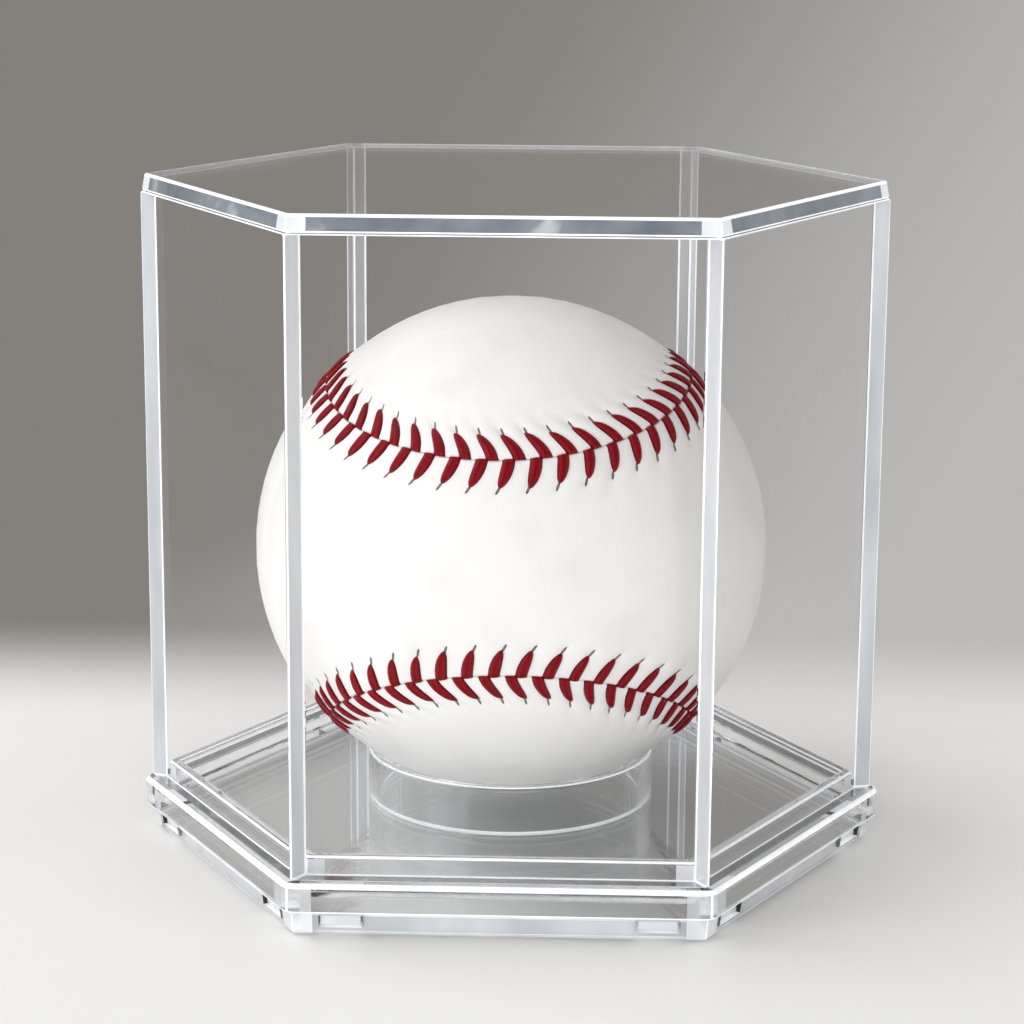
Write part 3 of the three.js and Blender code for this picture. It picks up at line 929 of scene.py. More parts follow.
@dataclass
class Tray:
    """The tray with its rim, ledge, flange and foot, and the plate snapped in below."""

    hexagon: Hexagon
    sheets: Sheets
    ledge: float = 7.8 * MM
    foot_high: float = 3.6 * MM
    foot_out: float = 0.2 * MM
    foot_low_out: float = -0.2 * MM
    foot_edge: float = 0.8 * MM
    flange: float = 1.2 * MM
    flange_edge: float = 0.6 * MM
    flange_under: float = 0.3 * MM
    flange_corner: float = 2.45 * MM
    rim_out: float = -3.35 * MM
    rim_in: float = -4.95 * MM
    rim_high: float = 10.6 * MM
    rim_edge: float = 0.5 * MM
    floor: float = 6.6 * MM
    fillet: float = 0.6 * MM
    thick: float = 1.8 * MM
    inner_corner: float = 0.5 * MM
    window_long: float = 6.1 * MM
    window_high: float = 1.8 * MM
    window_sill: float = 1.2 * MM
    window_from_corner: float = 3.8 * MM
    plate_thick: float = 2.8 * MM
    plate_gap: float = 0.3 * MM
    plate_arris: float = 0.3 * MM
    tongue_recess: float = 0.4 * MM
    tongue_root: float = 0.8 * MM

    def build(self) -> list[Piece]:
        """Builds the tray and its bottom plate.

        Returns:
            Both, riding on the base.
        """
        skirt = self.foot_low_out - self.thick
        sill, top, gap = self.window_sill, self.window_sill + self.window_high, self.plate_gap
        rows, inner = self._profile(skirt), self.inner_corner
        mesh = self.hexagon.turning("tray", rows, self.flange_corner, inner)
        # The window walls take the white arris finish, a painted highlight, and their short ends
        # painted shade.
        cutter = self._blocks((skirt - MM, self.foot_out + MM), (sill, top), 0.0, Slot.ARRIS)
        tray = self._joined(self.sheets.dress("tray", mesh), cutter, "DIFFERENCE")
        edge, arris, high = skirt - gap, self.plate_arris, self.plate_thick
        # The plate's edge is a pale mitre band between white arris lines: painted light and
        # painted highlights.
        rows = [
            Row(edge - arris, high, Slot.ARRIS),
            Row(edge, high - arris, Slot.MITRE),
            Row(edge, arris, Slot.ARRIS),
            Row(edge - arris, 0.0),
        ]
        mesh = self.hexagon.turning("plate", rows, inner, inner)
        # The tongues are painted pale with dark ends: painted light and painted shade.
        reach = (edge - self.tongue_root, self.foot_low_out - self.tongue_recess)
        tongues = self._blocks(reach, (sill + gap, top - gap), gap, Slot.MITRE)
        plate = self._joined(self.sheets.dress("tray_bottom_plate", mesh), tongues, "UNION")
        return [take_place(tray, "base_tray", "base"), take_place(plate, "bottom_plate", "base")]

    def _profile(self, skirt: float) -> list[Row]:
        """Gives the tray's section.

        Args:
            skirt: How far out the foot's inner face is.

        Returns:
            Rows from the floor's middle, over the rim and the flange, to the hollow below.
        """
        # The arris rows and corners are thin white lines, painted highlights; the mitre and hazed
        # corners are painted pale, painted light.
        line, mitre = Slot.ARRIS, Slot.MITRE
        top, under = self.rim_high - self.rim_edge, self.ledge - self.thick
        edge = self.fillet
        rows = arc((self.rim_in - edge, self.floor + edge), edge, (-1, 0))
        edge = self.rim_edge
        rows += arc((self.rim_in + edge, top), edge, (2, 1), line, steps=6, only=(3, 4))
        rows += arc((self.rim_out - edge, top), edge, (1, 0), line, steps=6, only=(2, 3, 4))
        rows[-1] = replace(rows[-1], slot=Slot.FACE, corner=line, near=mitre)
        rows.append(Row(self.rim_out, self.ledge))
        edge = self.flange_edge
        rows += arc((self.flange - edge, self.ledge - edge), edge, (1, 0), line)
        rows[-1] = replace(rows[-1], slot=Slot.FACE, corner=line, near=Slot.HAZE_AND_GLOW)
        edge = self.flange_under
        rows += arc((self.flange - edge, self.foot_high + edge), edge, (0, -1), line, steps=3)
        rows[-1] = replace(rows[-1], slot=Slot.FACE)
        edge = self.foot_edge
        foot = arc((self.foot_low_out - edge, edge), edge, (0, -1))
        foot.insert(0, Row(self.foot_out, self.foot_high))
        rows += [replace(row, corner=line, near=mitre) for row in foot]
        rows += [Row(skirt, 0.0), Row(skirt, under), Row(self.rim_out, under)]
        return [*rows, Row(self.rim_out, self.floor - self.thick)]

    def _blocks(
        self, reach: tuple[float, float], levels: tuple[float, float], gap: float, slot: Slot
    ) -> Piece:
        """Builds a block at each snap window, for cutting or joining.

        Args:
            reach: How far out the blocks start and end.
            levels: Their underside and top.
            gap: How much shorter than the window they are at each end.
            slot: Their finish, but for their ends, painted dark as painted shade.

        Returns:
            One object with twelve blocks.
        """
        shape = bmesh.new()
        spans = (self.window_long - 2 * gap, reach[1] - reach[0], levels[1] - levels[0], 1)
        for side in range(6):
            matrix, length = self.hexagon.side(side)
            out = length / 2 - self.window_from_corner - self.window_long / 2
            for along in (-out, out):
                place = Matrix.Translation((along, -sum(reach) / 2, sum(levels) / 2))
                block = matrix @ place @ Matrix.Diagonal(spans)
                made = bmesh.ops.create_cube(shape, size=1, matrix=block)
                for face in {face for vert in made["verts"] for face in vert.link_faces}:
                    face.normal_update()
                    ends = abs(face.normal @ matrix.to_3x3().col[0]) > FACING
                    face.material_index = Slot.SLIT if ends else slot
        return self.sheets.dress("blocks", new_mesh("blocks", shape))

    def _joined(self, piece: Piece, tool: Piece, how: str) -> Piece:
        """Cuts or joins a piece with a tool, which is then removed.

        Args:
            piece: The piece.
            tool: What cuts or joins it.
            how: DIFFERENCE or UNION.

        Returns:
            The result.
        """
        modifier = piece.modifiers.new("windows", "BOOLEAN")
        modifier.operation, modifier.solver, modifier.object = how, "EXACT", tool
        done = settle(piece)
        bpy.data.objects.remove(tool)
        return done


@dataclass
class RingStand:
    """The loose ring that the ball sits in."""

    sheets: Sheets
    outer: float = 21.5 * MM
    wall: float = 1.7 * MM
    low: float = 6.75 * MM
    high: float = 14.15 * MM
    edge: float = 0.5 * MM
    arris: float = 0.25 * MM
    seat: float = 0.5 * MM
    seat_drop: float = 0.335 * MM
    # Lines this close to an edge keep the shading of the flats flat.
    near: float = 0.08 * MM
    sharp_degrees: float = 35.0
    steps: int = 160

    def build(self) -> Piece:
        """Builds the ring, riding on its own body.

        Returns:
            The piece.
        """
        outer, inner, low, high = self.outer, self.outer - self.wall, self.low, self.high
        foot, edge, near, line = low + self.arris, self.edge, self.near, Slot.ARRIS
        # The arris rows are thin white lines: painted highlights.
        rows = [
            Row(inner, foot + near),
            Row(inner, foot, line),
            Row(inner + self.arris, low),
            Row(outer - self.arris, low, line),
            Row(outer, foot),
            Row(outer, foot + near),
            Row(outer, high - edge - near),
            *arc((outer - edge, high - edge), edge, (0, 1), line, steps=6, only=(2, 3)),
            Row(inner + self.seat, high, line),
            Row(inner, high - self.seat_drop),
            Row(inner, high - self.seat_drop - near),
        ]
        shape = bmesh.new()
        ways = [way(2 * math.pi * step / self.steps) for step in range(self.steps)]
        rings = [[shape.verts.new((*(row.outset * at), row.level)) for at in ways] for row in rows]
        for row, here, there in zip(rows, rings, rings[1:] + rings[:1]):
            for face in band(shape, there, here):
                face.material_index, face.smooth = row.slot, True
        mesh = new_mesh("ring", shape)
        mesh.set_sharp_from_angle(angle=math.radians(self.sharp_degrees))
        return take_place(self.sheets.dress("ring_stand", mesh), "ball_ring", "ring")


# Ball


class Panel(Enum):
    """The two leather panels. The value is the side of the seam that each lies on."""

    FRONT = 1
    OTHER = -1


@dataclass(frozen=True)
class Seam:
    """The closed seam on the ball, and how its stitches lie."""

    radius: float = 37 * MM
    bend: float = 0.325
    depth: float = 0.845
    count: int = 108
    reach: float = 4.1 * MM
    hole_mm: float = 4.0
    sweep_front: float = 1.35 * MM
    sweep_other: float = 2.25 * MM
    stagger: float = 0.7 * MM
    map_height: float = 60 * MM
    # A stitch leans along the seam by this power of its way out, up to this many holes' way.
    lean_power: float = 1.5
    lean_limit: float = 1.6
    pitch_steps: int = 4001
    walk_steps: int = 24001
    nudge: float = 1e-4

    def curve(self, angle: np.ndarray) -> np.ndarray:
        """Gives the seam's points on a ball of radius 1.

        Args:
            angle: Where on the closed seam, in radians.

        Returns:
            One point for each angle.
        """
        depth = 2 * math.sqrt((1 - self.bend) * self.bend) * self.depth
        across = (1 - self.bend) * np.cos(angle) + self.bend * np.cos(3 * angle)
        along = (1 - self.bend) * np.sin(angle) - self.bend * np.sin(3 * angle)
        points = np.stack((across, along, depth * np.sin(2 * angle)), axis=1)
        return points / np.linalg.norm(points, axis=1, keepdims=True)

    @property
    def pitch_mm(self) -> float:
        """The way from one stitch to the next, in millimetres."""
        points = self.curve(np.linspace(0, 2 * math.pi, self.pitch_steps))
        length = np.linalg.norm(np.diff(points, axis=0), axis=1).sum() * self.radius
        return float(length / self.count / MM)

    def lay(self, panel: Panel, out_mm: np.ndarray | float) -> np.ndarray:
        """Gives how far along the seam the middle of a stitch's arm is.

        Args:
            panel: The panel that the arm lies on.
            out_mm: The way out from the seam, in millimetres.

        Returns:
            The way along, in stitches.
        """
        sweep = self.sweep_front if panel is Panel.FRONT else self.sweep_other
        lean = np.clip(out_mm / self.hole_mm, 0, self.lean_limit) ** self.lean_power
        return (panel.value * self.stagger + sweep * lean) / MM / self.pitch_mm

    def walk(self, steps: int) -> tuple[np.ndarray, np.ndarray]:
        """Steps the seam evenly by its length.

        Args:
            steps: How many steps it has.

        Returns:
            Its points on a ball of radius 1, and the directions there over the front panel.
        """
        fine = np.linspace(0, 2 * math.pi, self.walk_steps)
        gaps = np.linalg.norm(np.diff(self.curve(fine), axis=0), axis=1)
        lengths = np.concatenate(([0], np.cumsum(gaps)))
        even = np.interp(np.arange(steps) / steps * lengths[-1], lengths, fine)
        places = self.curve(even)
        ahead = self.curve(even + self.nudge) - self.curve(even - self.nudge)
        ahead /= np.linalg.norm(ahead, axis=1, keepdims=True)
        return places, np.cross(places, ahead)


@dataclass
class Ball:
    """The ball: wound core, two leather panels and one red thread."""

    level: float
    seam: Seam = Seam()
    leather: float = 1.25 * MM
    columns: int = 1296
    tilt_degrees: float = 7.9
    turn_degrees: float = -0.4
    lean_degrees: float = -1.1
    # The leather's forms by the seam, in millimetres: each one's height and how far it reaches
    welt_mm: tuple[float, float] = (0.16, 3.2)
    roll_mm: tuple[float, float] = (0.3, 0.32)
    furrow_mm: float = 0.07
    # A furrow comes up between the first two of these ways out, and goes between the others.
    furrow_span_mm: tuple[float, ...] = (0.4, 2.0, 4.0, 8.5)
    # A dimple's depth, half its width and length, and how far it lies beyond its hole
    dimple_mm: tuple[float, ...] = (0.24, 0.55, 0.8, 0.2)
    # The rows of the leather by the seam, out from it, and how far out its middle line is
    near_mm: tuple[float, ...] = (
        *(0.03, 0.08, 0.16, 0.3, 0.5, 0.9, 1.3, 1.75, 2.2, 2.65, 3.05, 3.4, 3.7),
        *(3.95, 4.2, 4.45, 4.7, 5.0, 5.4, 5.9, 6.5, 7.2, 8.0, 9.0),
    )
    far_rows: int = 8
    far_mm: float = 22.0
    # The rows that the inside repeats
    inside: tuple[int, ...] = (0, 4, 12, 23, -3, -1)
    lobe_degrees: float = 78.0
    least_gap: float = 1e-6

    def __post_init__(self) -> None:
        """Works out where the ball's own frame lies."""
        self.place = Matrix.Translation((0, 0, self.level))
        turned = (self.turn_degrees, self.lean_degrees, 90 - self.tilt_degrees, 45)
        for degrees, axis in zip(turned, "ZYXZ"):
            self.place = self.place @ Matrix.Rotation(math.radians(degrees), 4, axis)

    def build(self) -> list[Piece]:
        """Builds the leather and the stitches, and dresses the core.

        Returns:
            The pieces, riding on the ball.
        """
        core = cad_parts["ball_core"]
        core.data.materials.clear()
        core.data.materials.append(WoundWool().build())
        leather = WhiteLeather(seam=self.seam).build()
        made = []
        for panel, node in ((Panel.OTHER, "ball_leather_a"), (Panel.FRONT, "ball_leather_b")):
            mesh = self._leather(panel)
            mesh.materials.append(leather)
            piece = new_piece(f"leather_{panel.name.lower()}", mesh)
            made.append(take_place(piece, node, "ball"))
        stitches = Stitching(self.seam, self.place).build()
        return [*made, take_place(stitches, "ball_stitching", "ball")]

    def _rise(self, panel: Panel, out_mm: np.ndarray, turns: np.ndarray) -> np.ndarray:
        """Gives the leather's rise over the ball's radius.

        Args:
            panel: Which panel.
            out_mm: The way out from the seam, in millimetres.
            turns: The place along the seam, in stitches.

        Returns:
            The rise in metres: a low welt along the seam, furrows under the stitches and
            a dimple at each needle hole.
        """
        seam = self.seam
        height, reach = self.welt_mm
        welt = height * np.exp(-((out_mm / reach) ** 2))
        height, reach = self.roll_mm
        roll = -height * np.clip(1 - out_mm / reach, 0, 1) ** 2
        phase = turns - seam.lay(panel, out_mm)
        start, full, fade, end = self.furrow_span_mm
        inner = np.clip((out_mm - start) / (full - start), 0, 1)
        outer = np.clip((end - out_mm) / (end - fade), 0, 1)
        envelope = inner**2 * (3 - 2 * inner) * outer**2 * (3 - 2 * outer)
        furrow = -self.furrow_mm * envelope * np.cos(2 * math.pi * phase)
        depth, wide, long, beyond = self.dimple_mm
        aside = ((phase + 0.5) % 1 - 0.5) * seam.pitch_mm / wide
        away = np.hypot(aside, (out_mm - seam.hole_mm - beyond) / long)
        dimple = -depth * np.exp(-(away**2))
        return (welt + roll + furrow + dimple) * MM

    def _spine(self, panel: Panel, ways: np.ndarray) -> np.ndarray:
        """Gives the nearest place on the panel's middle line, from lobe to lobe.

        Args:
            panel: Which panel.
            ways: Directions near its edge.

        Returns:
            One direction on the middle line for each.
        """
        waist = np.array((0.0, 0.0, float(panel.value)))
        lobe = np.array((1.0, -float(panel.value), 0.0)) / math.sqrt(2)
        limit = math.radians(self.lobe_degrees)
        angle = np.clip(np.arctan2(ways @ lobe, ways @ waist), -limit, limit)[:, None]
        return np.cos(angle) * waist + np.sin(angle) * lobe

    def _leather(self, panel: Panel) -> bpy.types.Mesh:
        """Builds one closed panel, from its middle line out to the seam and back inside.

        Args:
            panel: Which panel.

        Returns:
            The panel's mesh with its seam map.
        """
        seam, rows = self.seam, []
        places, sideways = seam.walk(self.columns)
        for out in self.near_mm:
            angle = panel.value * out * MM / seam.radius
            rows.append((places * math.cos(angle) + sideways * math.sin(angle), out))
        last, reach = rows[-1]
        spine = self._spine(panel, last)
        gap = np.arccos(np.clip((last * spine).sum(axis=1), -1, 1))[:, None]
        sine = np.maximum(np.sin(gap), self.least_gap)
        for step in range(1, self.far_rows + 1):
            share = step / self.far_rows
            mixed = np.sin((1 - share) * gap) / sine * last + np.sin(share * gap) / sine * spine
            mixed = np.where(gap < self.least_gap, spine, mixed)
            rows.append((mixed, reach + share * self.far_mm))
        turns = np.arange(self.columns) / self.columns * seam.count
        rises = [self._rise(panel, np.full(self.columns, out), turns) for _, out in rows[::-1]]
        rises += [np.full(self.columns, -self.leather)] * len(self.inside)
        rows = rows[::-1] + [rows[at] for at in self.inside]
        shape = bmesh.new()
        seam_map = shape.loops.layers.uv.new(SEAM_MAP)
        rings = []
        for (ways, _), rise in zip(rows, rises):
            points = ways * (seam.radius + rise)[:, None]
            rings.append([shape.verts.new(point) for point in points])
        hole = seam.lay(panel, seam.hole_mm) / seam.count
        heights = [out * MM / seam.map_height for _, out in rows]
        for high, low, upper, lower in zip(heights, heights[1:], rings, rings[1:]):
            for column, face in enumerate(band(shape, upper, lower)):
                face.smooth = True
                start, end = column / self.columns - hole, (column + 1) / self.columns - hole
                corners = ((start, high), (start, low), (end, low), (end, high))
                for loop, corner in zip(face.loops, corners):
                    loop[seam_map].uv = corner
        for row in (rings[0], rings[-1]):
            bmesh.ops.remove_doubles(shape, verts=row, dist=WELD)
        bmesh.ops.dissolve_degenerate(shape, edges=shape.edges[:], dist=1e-8)
        bmesh.ops.recalc_face_normals(shape, faces=shape.faces[:])
        mesh = new_mesh("leather", shape)
        mesh.transform(self.place)
        return mesh


@dataclass
class Stitching:
    """The red thread: one node tree lays an arm on each side of the seam, 108 times."""

    seam: Seam
    place: Matrix
    width: float = 1.8 * MM
    height: float = 0.5 * MM
    around: int = 9
    seed: int = 7
    # Each stitch is pulled a little differently by hand: its least and greatest stretch.
    pulls: tuple[Point, Point] = ((0.93, 0.95, 1.0), (1.06, 1.04, 1.0))
    # The thread starts this far short of the seam, and its underside is cut off flat.
    overlap: float = 0.1 * MM
    flat: float = 0.35
    # The lay's way along an arm, in millimetres
    arm_mm: float = 4.1
    # Where the arm's lines lie, gathered where the thread starts and where it dives
    lines: tuple[float, ...] = (0, 0.02, 0.17, 0.36, 0.54, 0.7, 0.83, 0.92, 0.975, 1)
    # Its breadth and thickness along the arm, and its height, where 0.5 is the ball's
    # radius and the whole is 1 mm
    broad: Stops = (
        *((0, 0), (0.02, 1), (0.36, 1), (0.6, 0.95), (0.78, 0.8), (0.9, 0.56)),
        *((0.975, 0.3), (1, 0)),
    )
    thick: Stops = ((0, 0), (0.02, 0.8), (0.3, 1), (0.8, 0.8), (1, 0))
    lift: Stops = ((0, 0.6), (0.3, 0.64), (0.6, 0.6), (0.85, 0.54), (0.95, 0.48), (1, 0.35))

    def build(self) -> Piece:
        """Runs the tree on the seam's curve and keeps its result.

        Returns:
            One plain mesh piece with every stitch.
        """
        seam = self.seam
        path = bpy.data.curves.new("stitches", "CURVE")
        path.dimensions = "3D"
        spline = path.splines.new("POLY")
        places = seam.walk(seam.count * 4)[0] * seam.radius
        spline.points.add(len(places) - 1)
        for point, place in zip(spline.points, places):
            point.co = (*place, 1.0)
        spline.use_cyclic_u = True
        given = {
            "Stitches": seam.count,
            "Ball Radius": seam.radius,
            "Reach": seam.reach,
            "Sweep Front": seam.sweep_front,
            "Sweep Other": seam.sweep_other,
            "Stagger": seam.stagger,
            "Thread Width": self.width,
            "Thread Height": self.height,
            "Seed": self.seed,
            "Thread": WaxedThread().build(),
        }
        kinds = {int: "Int", float: "Float", bpy.types.Material: "Material"}
        tree = bpy.data.node_groups.new("seam stitches", "GeometryNodeTree")
        new_socket = tree.interface.new_socket
        for way_on in ("OUTPUT", "INPUT"):
            new_socket("Geometry", in_out=way_on, socket_type="NodeSocketGeometry")
        names = {}
        for name, value in given.items():
            kind = f"NodeSocket{kinds[type(value)]}"
            names[name] = new_socket(name, in_out="INPUT", socket_type=kind).identifier
        self._draw(tree)
        piece = new_piece("stitches", path)
        modifier = piece.modifiers.new("stitches", "NODES")
        modifier.node_group = tree
        for name, value in given.items():
            modifier[names[name]] = value
        done = settle(piece)
        done.data.transform(self.place)
        return done

    def _draw(self, tree: bpy.types.NodeTree) -> None:
        """Draws the nodes that lay both arms at every stitch and bend them over the ball.

        Args:
            tree: The tree, with its named inputs.
        """
        add = partial(add_node, tree)
        at = add("NodeGroupInput").node.outputs
        path = {"Curve": at["Geometry"], "Count": at["Stitches"]}
        points = add("GeometryNodeCurveToPoints", path, "Points", mode="COUNT")
        ways = (add("GeometryNodeInputPosition"), points.node.outputs["Tangent"])
        up = add("VectorMath NORMALIZE", ways[:1])
        axes = {"primary_axis": "Z", "secondary_axis": "X"}
        turn = add("FunctionNodeAxesToRotation", (up, ways[1]), **axes)
        limits = {"Min": self.pulls[0], "Max": self.pulls[1], "Seed": at["Seed"]}
        pull = add("FunctionNodeRandomValue", limits, data_type="FLOAT_VECTOR")
        arms = []
        for side, sweep in ((1, "Sweep Front"), (-1, "Sweep Other")):
            arm = self._arm(add, at, side, at[sweep])
            laid = {"Points": points, "Instance": arm, "Rotation": turn, "Scale": pull}
            arms.append(add("GeometryNodeInstanceOnPoints", laid))
        both = add("GeometryNodeJoinGeometry")
        for arm in reversed(arms):
            tree.links.new(arm, both.node.inputs[0])
        real = add("GeometryNodeRealizeInstances", (both,))
        rise = add("GeometryNodeInputNamedAttribute", {"Name": "rise"}, data_type="FLOAT")
        reach = add("Math ADD", (at["Ball Radius"], rise))
        on_ball = add("VectorMath SCALE", {0: up, "Scale": reach})
        bent = add("GeometryNodeSetPosition", {"Geometry": real, "Position": on_ball})
        closed = add("GeometryNodeMergeByDistance", {"Geometry": bent, "Distance": WELD})
        smooth = add("GeometryNodeSetShadeSmooth", {"Geometry": closed})
        last = add("GeometryNodeRealizeInstances", (smooth,))
        dressed = {"Geometry": last, "Material": at["Thread"]}
        add("NodeGroupOutput", (add("GeometryNodeSetMaterial", dressed),))

    def _arm(self, add: Add, at: bpy.types.NodeOutputs, side: int, sweep: Socket) -> Socket:
        """Adds the nodes of one arm of a stitch, flat, with its rise in an attribute.

        Args:
            add: Adds a node to the tree.
            at: The tree's inputs.
            side: 1 for the arm over the front panel, and -1 for the other.
            sweep: How far along the arm leans.

        Returns:
            The arm's geometry: a closed, flattened tube from the seam to its needle hole.
        """
        size = {"Size X": 1.0, "Size Y": 1.0, "Vertices X": len(self.lines)}
        shape = add("GeometryNodeMeshGrid", {**size, "Vertices Y": self.around})
        even = add("SeparateXYZ", (add("GeometryNodeInputPosition"),), out="X")
        last = len(self.lines) - 1
        stops = [(step / last, share) for step, share in enumerate(self.lines)]
        out = add("FloatCurve", {"Value": add("Math ADD", (even, 0.5))}, stops=stops)
        # Round the thread from its underside, so that the join is hidden
        angle = (even.node.outputs["Y"], 2 * math.pi, math.pi / 2)
        angle = add("Math MULTIPLY_ADD", angle)
        cosine, sine = add("Math COSINE", (angle,)), add("Math SINE", (angle,))
        profiles = (self.broad, self.thick, self.lift)
        broad, thick, lift = (add("FloatCurve", {"Value": out}, stops=stops) for stops in profiles)
        rise = add("Math MULTIPLY", (add("Math SUBTRACT", (lift, 0.5)), MM))
        body = add("Math MULTIPLY", (thick, add("Math MAXIMUM", (sine, -self.flat))))
        body = add("Math MULTIPLY", (body, at["Thread Height"]))
        lean = add("Math MULTIPLY", (add("Math POWER", (out, self.seam.lean_power)), sweep))
        half = add("Math MULTIPLY", (at["Thread Width"], 0.5))
        half = add("Math MULTIPLY", (add("Math MULTIPLY", (broad, cosine)), half))
        shift = add("Math MULTIPLY", (at["Stagger"], float(side)))
        along = add("Math ADD", (add("Math ADD", (lean, half)), shift))
        start = add("Math MULTIPLY_ADD", (out, at["Reach"], -self.overlap))
        flat = add("CombineXYZ", (along, add("Math MULTIPLY", (start, float(side))), 0.0))
        lay = add("CombineXYZ", (cosine, add("Math MULTIPLY", (out, self.arm_mm))))
        height = add("Math ADD", (rise, body))
        for name, kind, value in (("rise", "FLOAT", height), (THREAD_LAY, "FLOAT_VECTOR", lay)):
            told = {"Geometry": shape, "Name": name, "Value": value}
            shape = add("GeometryNodeStoreNamedAttribute", told, data_type=kind, domain="POINT")
        moved = add("GeometryNodeSetPosition", {"Geometry": shape, "Position": flat})
        return add("GeometryNodeFlipFaces", {"Mesh": moved}) if side < 0 else moved


# Studio


@dataclass(frozen=True)
class TableTop(Finish):
    """Smooth white table top, which fades into the backdrop behind the case.

    Its near end lies under the picture, and mirrors show it only dimly.
    """

    name: str = "floor"
    colour: str = "#F5F4F1"
    roughness: float = 0.5
    fade_back: tuple[float, float] = (0.055, 0.12)
    fade_near: tuple[float, float] = (-0.11, -0.15)

    def draw(self, add: Add) -> Socket:
        """Draws the pale paint and its two fading ends.

        Args:
            add: Adds a node to the material.

        Returns:
            The shader.
        """
        depth = add("SeparateXYZ", (add("TexCoord", out="Object"),), out="Y")
        paint = {"Base Color": linear(self.colour), "Roughness": self.roughness}
        ends = []
        for span in (self.fade_back, self.fade_near):
            ends.append(add("MapRange", (depth, *span), **SMOOTH))
        mirrored = add("Math GREATER_THAN", (add("LightPath", out="Glossy Depth"), 0.5))
        fade = add("Math MAXIMUM", (ends[0], add("Math MULTIPLY", (ends[1], mirrored))))
        return add("MixShader", (fade, add("BsdfPrincipled", paint), add("BsdfTransparent")))


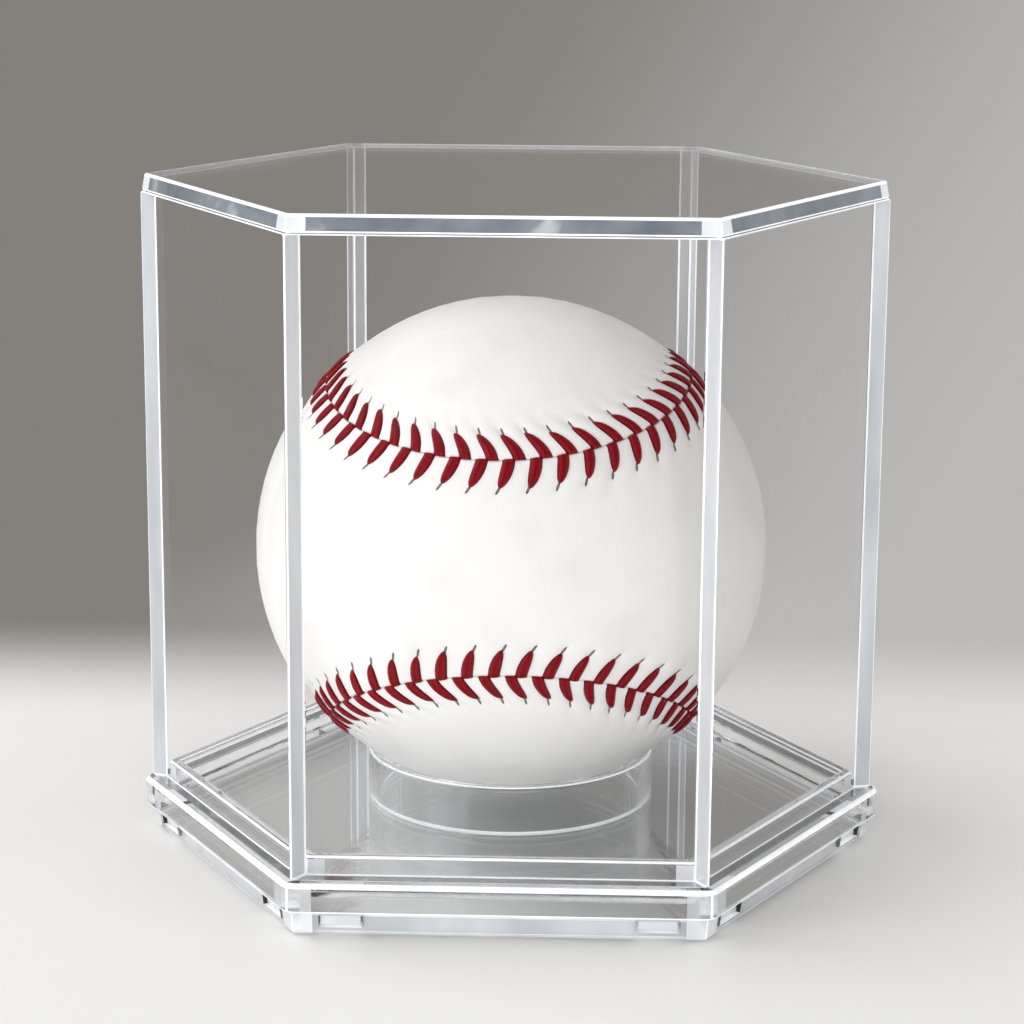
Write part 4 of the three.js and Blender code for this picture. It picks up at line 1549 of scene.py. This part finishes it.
@dataclass
class Studio:
    """A pale floor, soft lamps, a backdrop with painted shade, and the camera."""

    floor_radius: float = 4.0
    floor_level: float = -0.3 * MM
    backdrop_dark: str = "#84807B"
    backdrop_light: str = "#BAB9B7"
    daylight: float = 0.7
    # The backdrop is painted brighter this way, painted shade that lifts between these heights of
    # the way's product with a ray.
    bright_way: Point = (1.0, 0.0, -0.6)
    bright_span: tuple[float, float] = (-0.02, 0.26)
    # Mirrors show the room in front of the case at this share of its brightness.
    dim: float = 0.15
    dim_span: tuple[float, float] = (0.1, 0.6)
    target: Point = (0.0, 0.0, 0.05)
    distance: float = 0.432
    elevation_degrees: float = 13.2
    azimuth_degrees: float = 1.8
    roll_degrees: float = 0.39
    view_degrees: float = 20.06

    def build(self) -> None:
        """Builds the floor, lamps, world and camera."""
        shape = bmesh.new()
        disc = {"cap_ends": True, "segments": 96, "radius": self.floor_radius}
        bmesh.ops.create_circle(shape, **disc)
        mesh = new_mesh("floor", shape)
        mesh.transform(Matrix.Translation((0, 0, self.floor_level)))
        mesh.materials.append(TableTop().build())
        new_piece("floor", mesh)
        self._world()
        self._lamp("window", (-0.6, 0.1, 0.75), size=0.45, watts=2.3)
        self._lamp("side", (-0.72, -0.57, 0.3), size=0.65, watts=2.4, hidden=("glossy",))
        # The front one only fills the shade: it would stand in every clear sheet.
        hidden = ("glossy", "transmission")
        self._lamp("front", (0.0, -0.95, 0.1), size=0.5, watts=4.9, hidden=hidden)
        self._camera()

    def _world(self) -> None:
        """Sets the soft light all round, and the backdrop with its painted shade that eyes and
        glass see.
        """
        world = bpy.data.worlds.new("studio")
        world.use_nodes = True
        world.node_tree.nodes.clear()
        add = partial(add_node, world.node_tree)
        light = add("Background", {"Color": linear("#FFFFFF"), "Strength": self.daylight})
        ray = add("TexCoord")
        slope = add("VectorMath DOT_PRODUCT", (ray, self.bright_way), out="Value")
        share = add("MapRange", (slope, *self.bright_span), **SMOOTH)
        # The backdrop's dark to light is painted shade.
        stops = [(0.0, self.backdrop_dark), (1.0, self.backdrop_light)]
        wall = add("ValToRGB", {"Fac": share}, stops=stops)
        # Mirrors show a dim room in front of the case, so the front sheets hold no veil.
        rays = add("LightPath").node.outputs
        mirrored = add("Math GREATER_THAN", (rays["Glossy Depth"], 0.5))
        front = add("VectorMath DOT_PRODUCT", (ray, (0.0, -1.0, 0.0)), out="Value")
        unseen = (add("Math MULTIPLY", (front, mirrored)), *self.dim_span, 1.0, self.dim)
        strength = add("MapRange", unseen, **SMOOTH)
        backdrop = add("Background", {"Color": wall, "Strength": strength})
        seen = add("Math MAXIMUM", (rays["Is Camera Ray"], rays["Is Glossy Ray"]))
        seen = add("Math MAXIMUM", (seen, rays["Is Transmission Ray"]))
        add("OutputWorld", {"Surface": add("MixShader", (seen, light, backdrop))})
        bpy.context.scene.world = world

    def _lamp(
        self, name: str, place: Point, size: float, watts: float, hidden: Sequence[str] = ()
    ) -> None:
        """Hangs a soft square lamp that looks at the ball.

        Args:
            name: The lamp's name.
            place: Where it hangs.
            size: Its side.
            watts: Its power.
            hidden: The kinds of rays that don't see it.
        """
        lamp = bpy.data.lights.new(name, "AREA")
        lamp.energy, lamp.size = watts, size
        holder = new_piece(name, lamp)
        holder.location = place
        look = Vector(self.target) - Vector(place)
        holder.rotation_euler = look.to_track_quat("-Z", "Y").to_euler()
        for kind in hidden:
            setattr(holder, f"visible_{kind}", False)

    def _camera(self) -> None:
        """Places the camera at the photograph's angle."""
        lens = bpy.data.cameras.new("camera")
        lens.angle = math.radians(self.view_degrees)
        lens.clip_start, lens.clip_end = 0.01, 20.0
        camera = new_piece("camera", lens)
        up, turned = math.radians(self.elevation_degrees), math.radians(self.azimuth_degrees)
        level = Vector((math.sin(turned), -math.cos(turned), 0.0)) * math.cos(up)
        back = level + Vector((0.0, 0.0, math.sin(up)))
        camera.location = Vector(self.target) + back * self.distance
        turn = (-back).to_track_quat("-Z", "Y").to_matrix()
        roll = Matrix.Rotation(math.radians(self.roll_degrees), 3, "Z")
        camera.rotation_euler = (turn @ roll).to_euler()
        bpy.context.scene.camera = camera


def main() -> None:
    """Builds the case, the ball and the studio, and reports each piece."""
    logging.basicConfig(level=logging.INFO, format="%(name)s: %(message)s")
    scene = bpy.context.scene
    scene.view_settings.view_transform = "Standard"
    scene.cycles.transparent_max_bounces = 24
    scene.cycles.transmission_bounces = 20
    scene.cycles.glossy_bounces = 24
    scene.cycles.max_bounces = 32
    hexagon = Hexagon()
    sheets = Sheets()
    pieces = Cover(hexagon, sheets).build()
    pieces += Tray(hexagon, sheets).build()
    pieces.append(RingStand(sheets).build())
    pieces += Ball(level=45.2632 * MM).build()
    Studio().build()
    for piece in pieces:
        LOG.info("%s: %d faces", piece.name, len(piece.data.polygons))


if __name__ == "__main__":
    main()
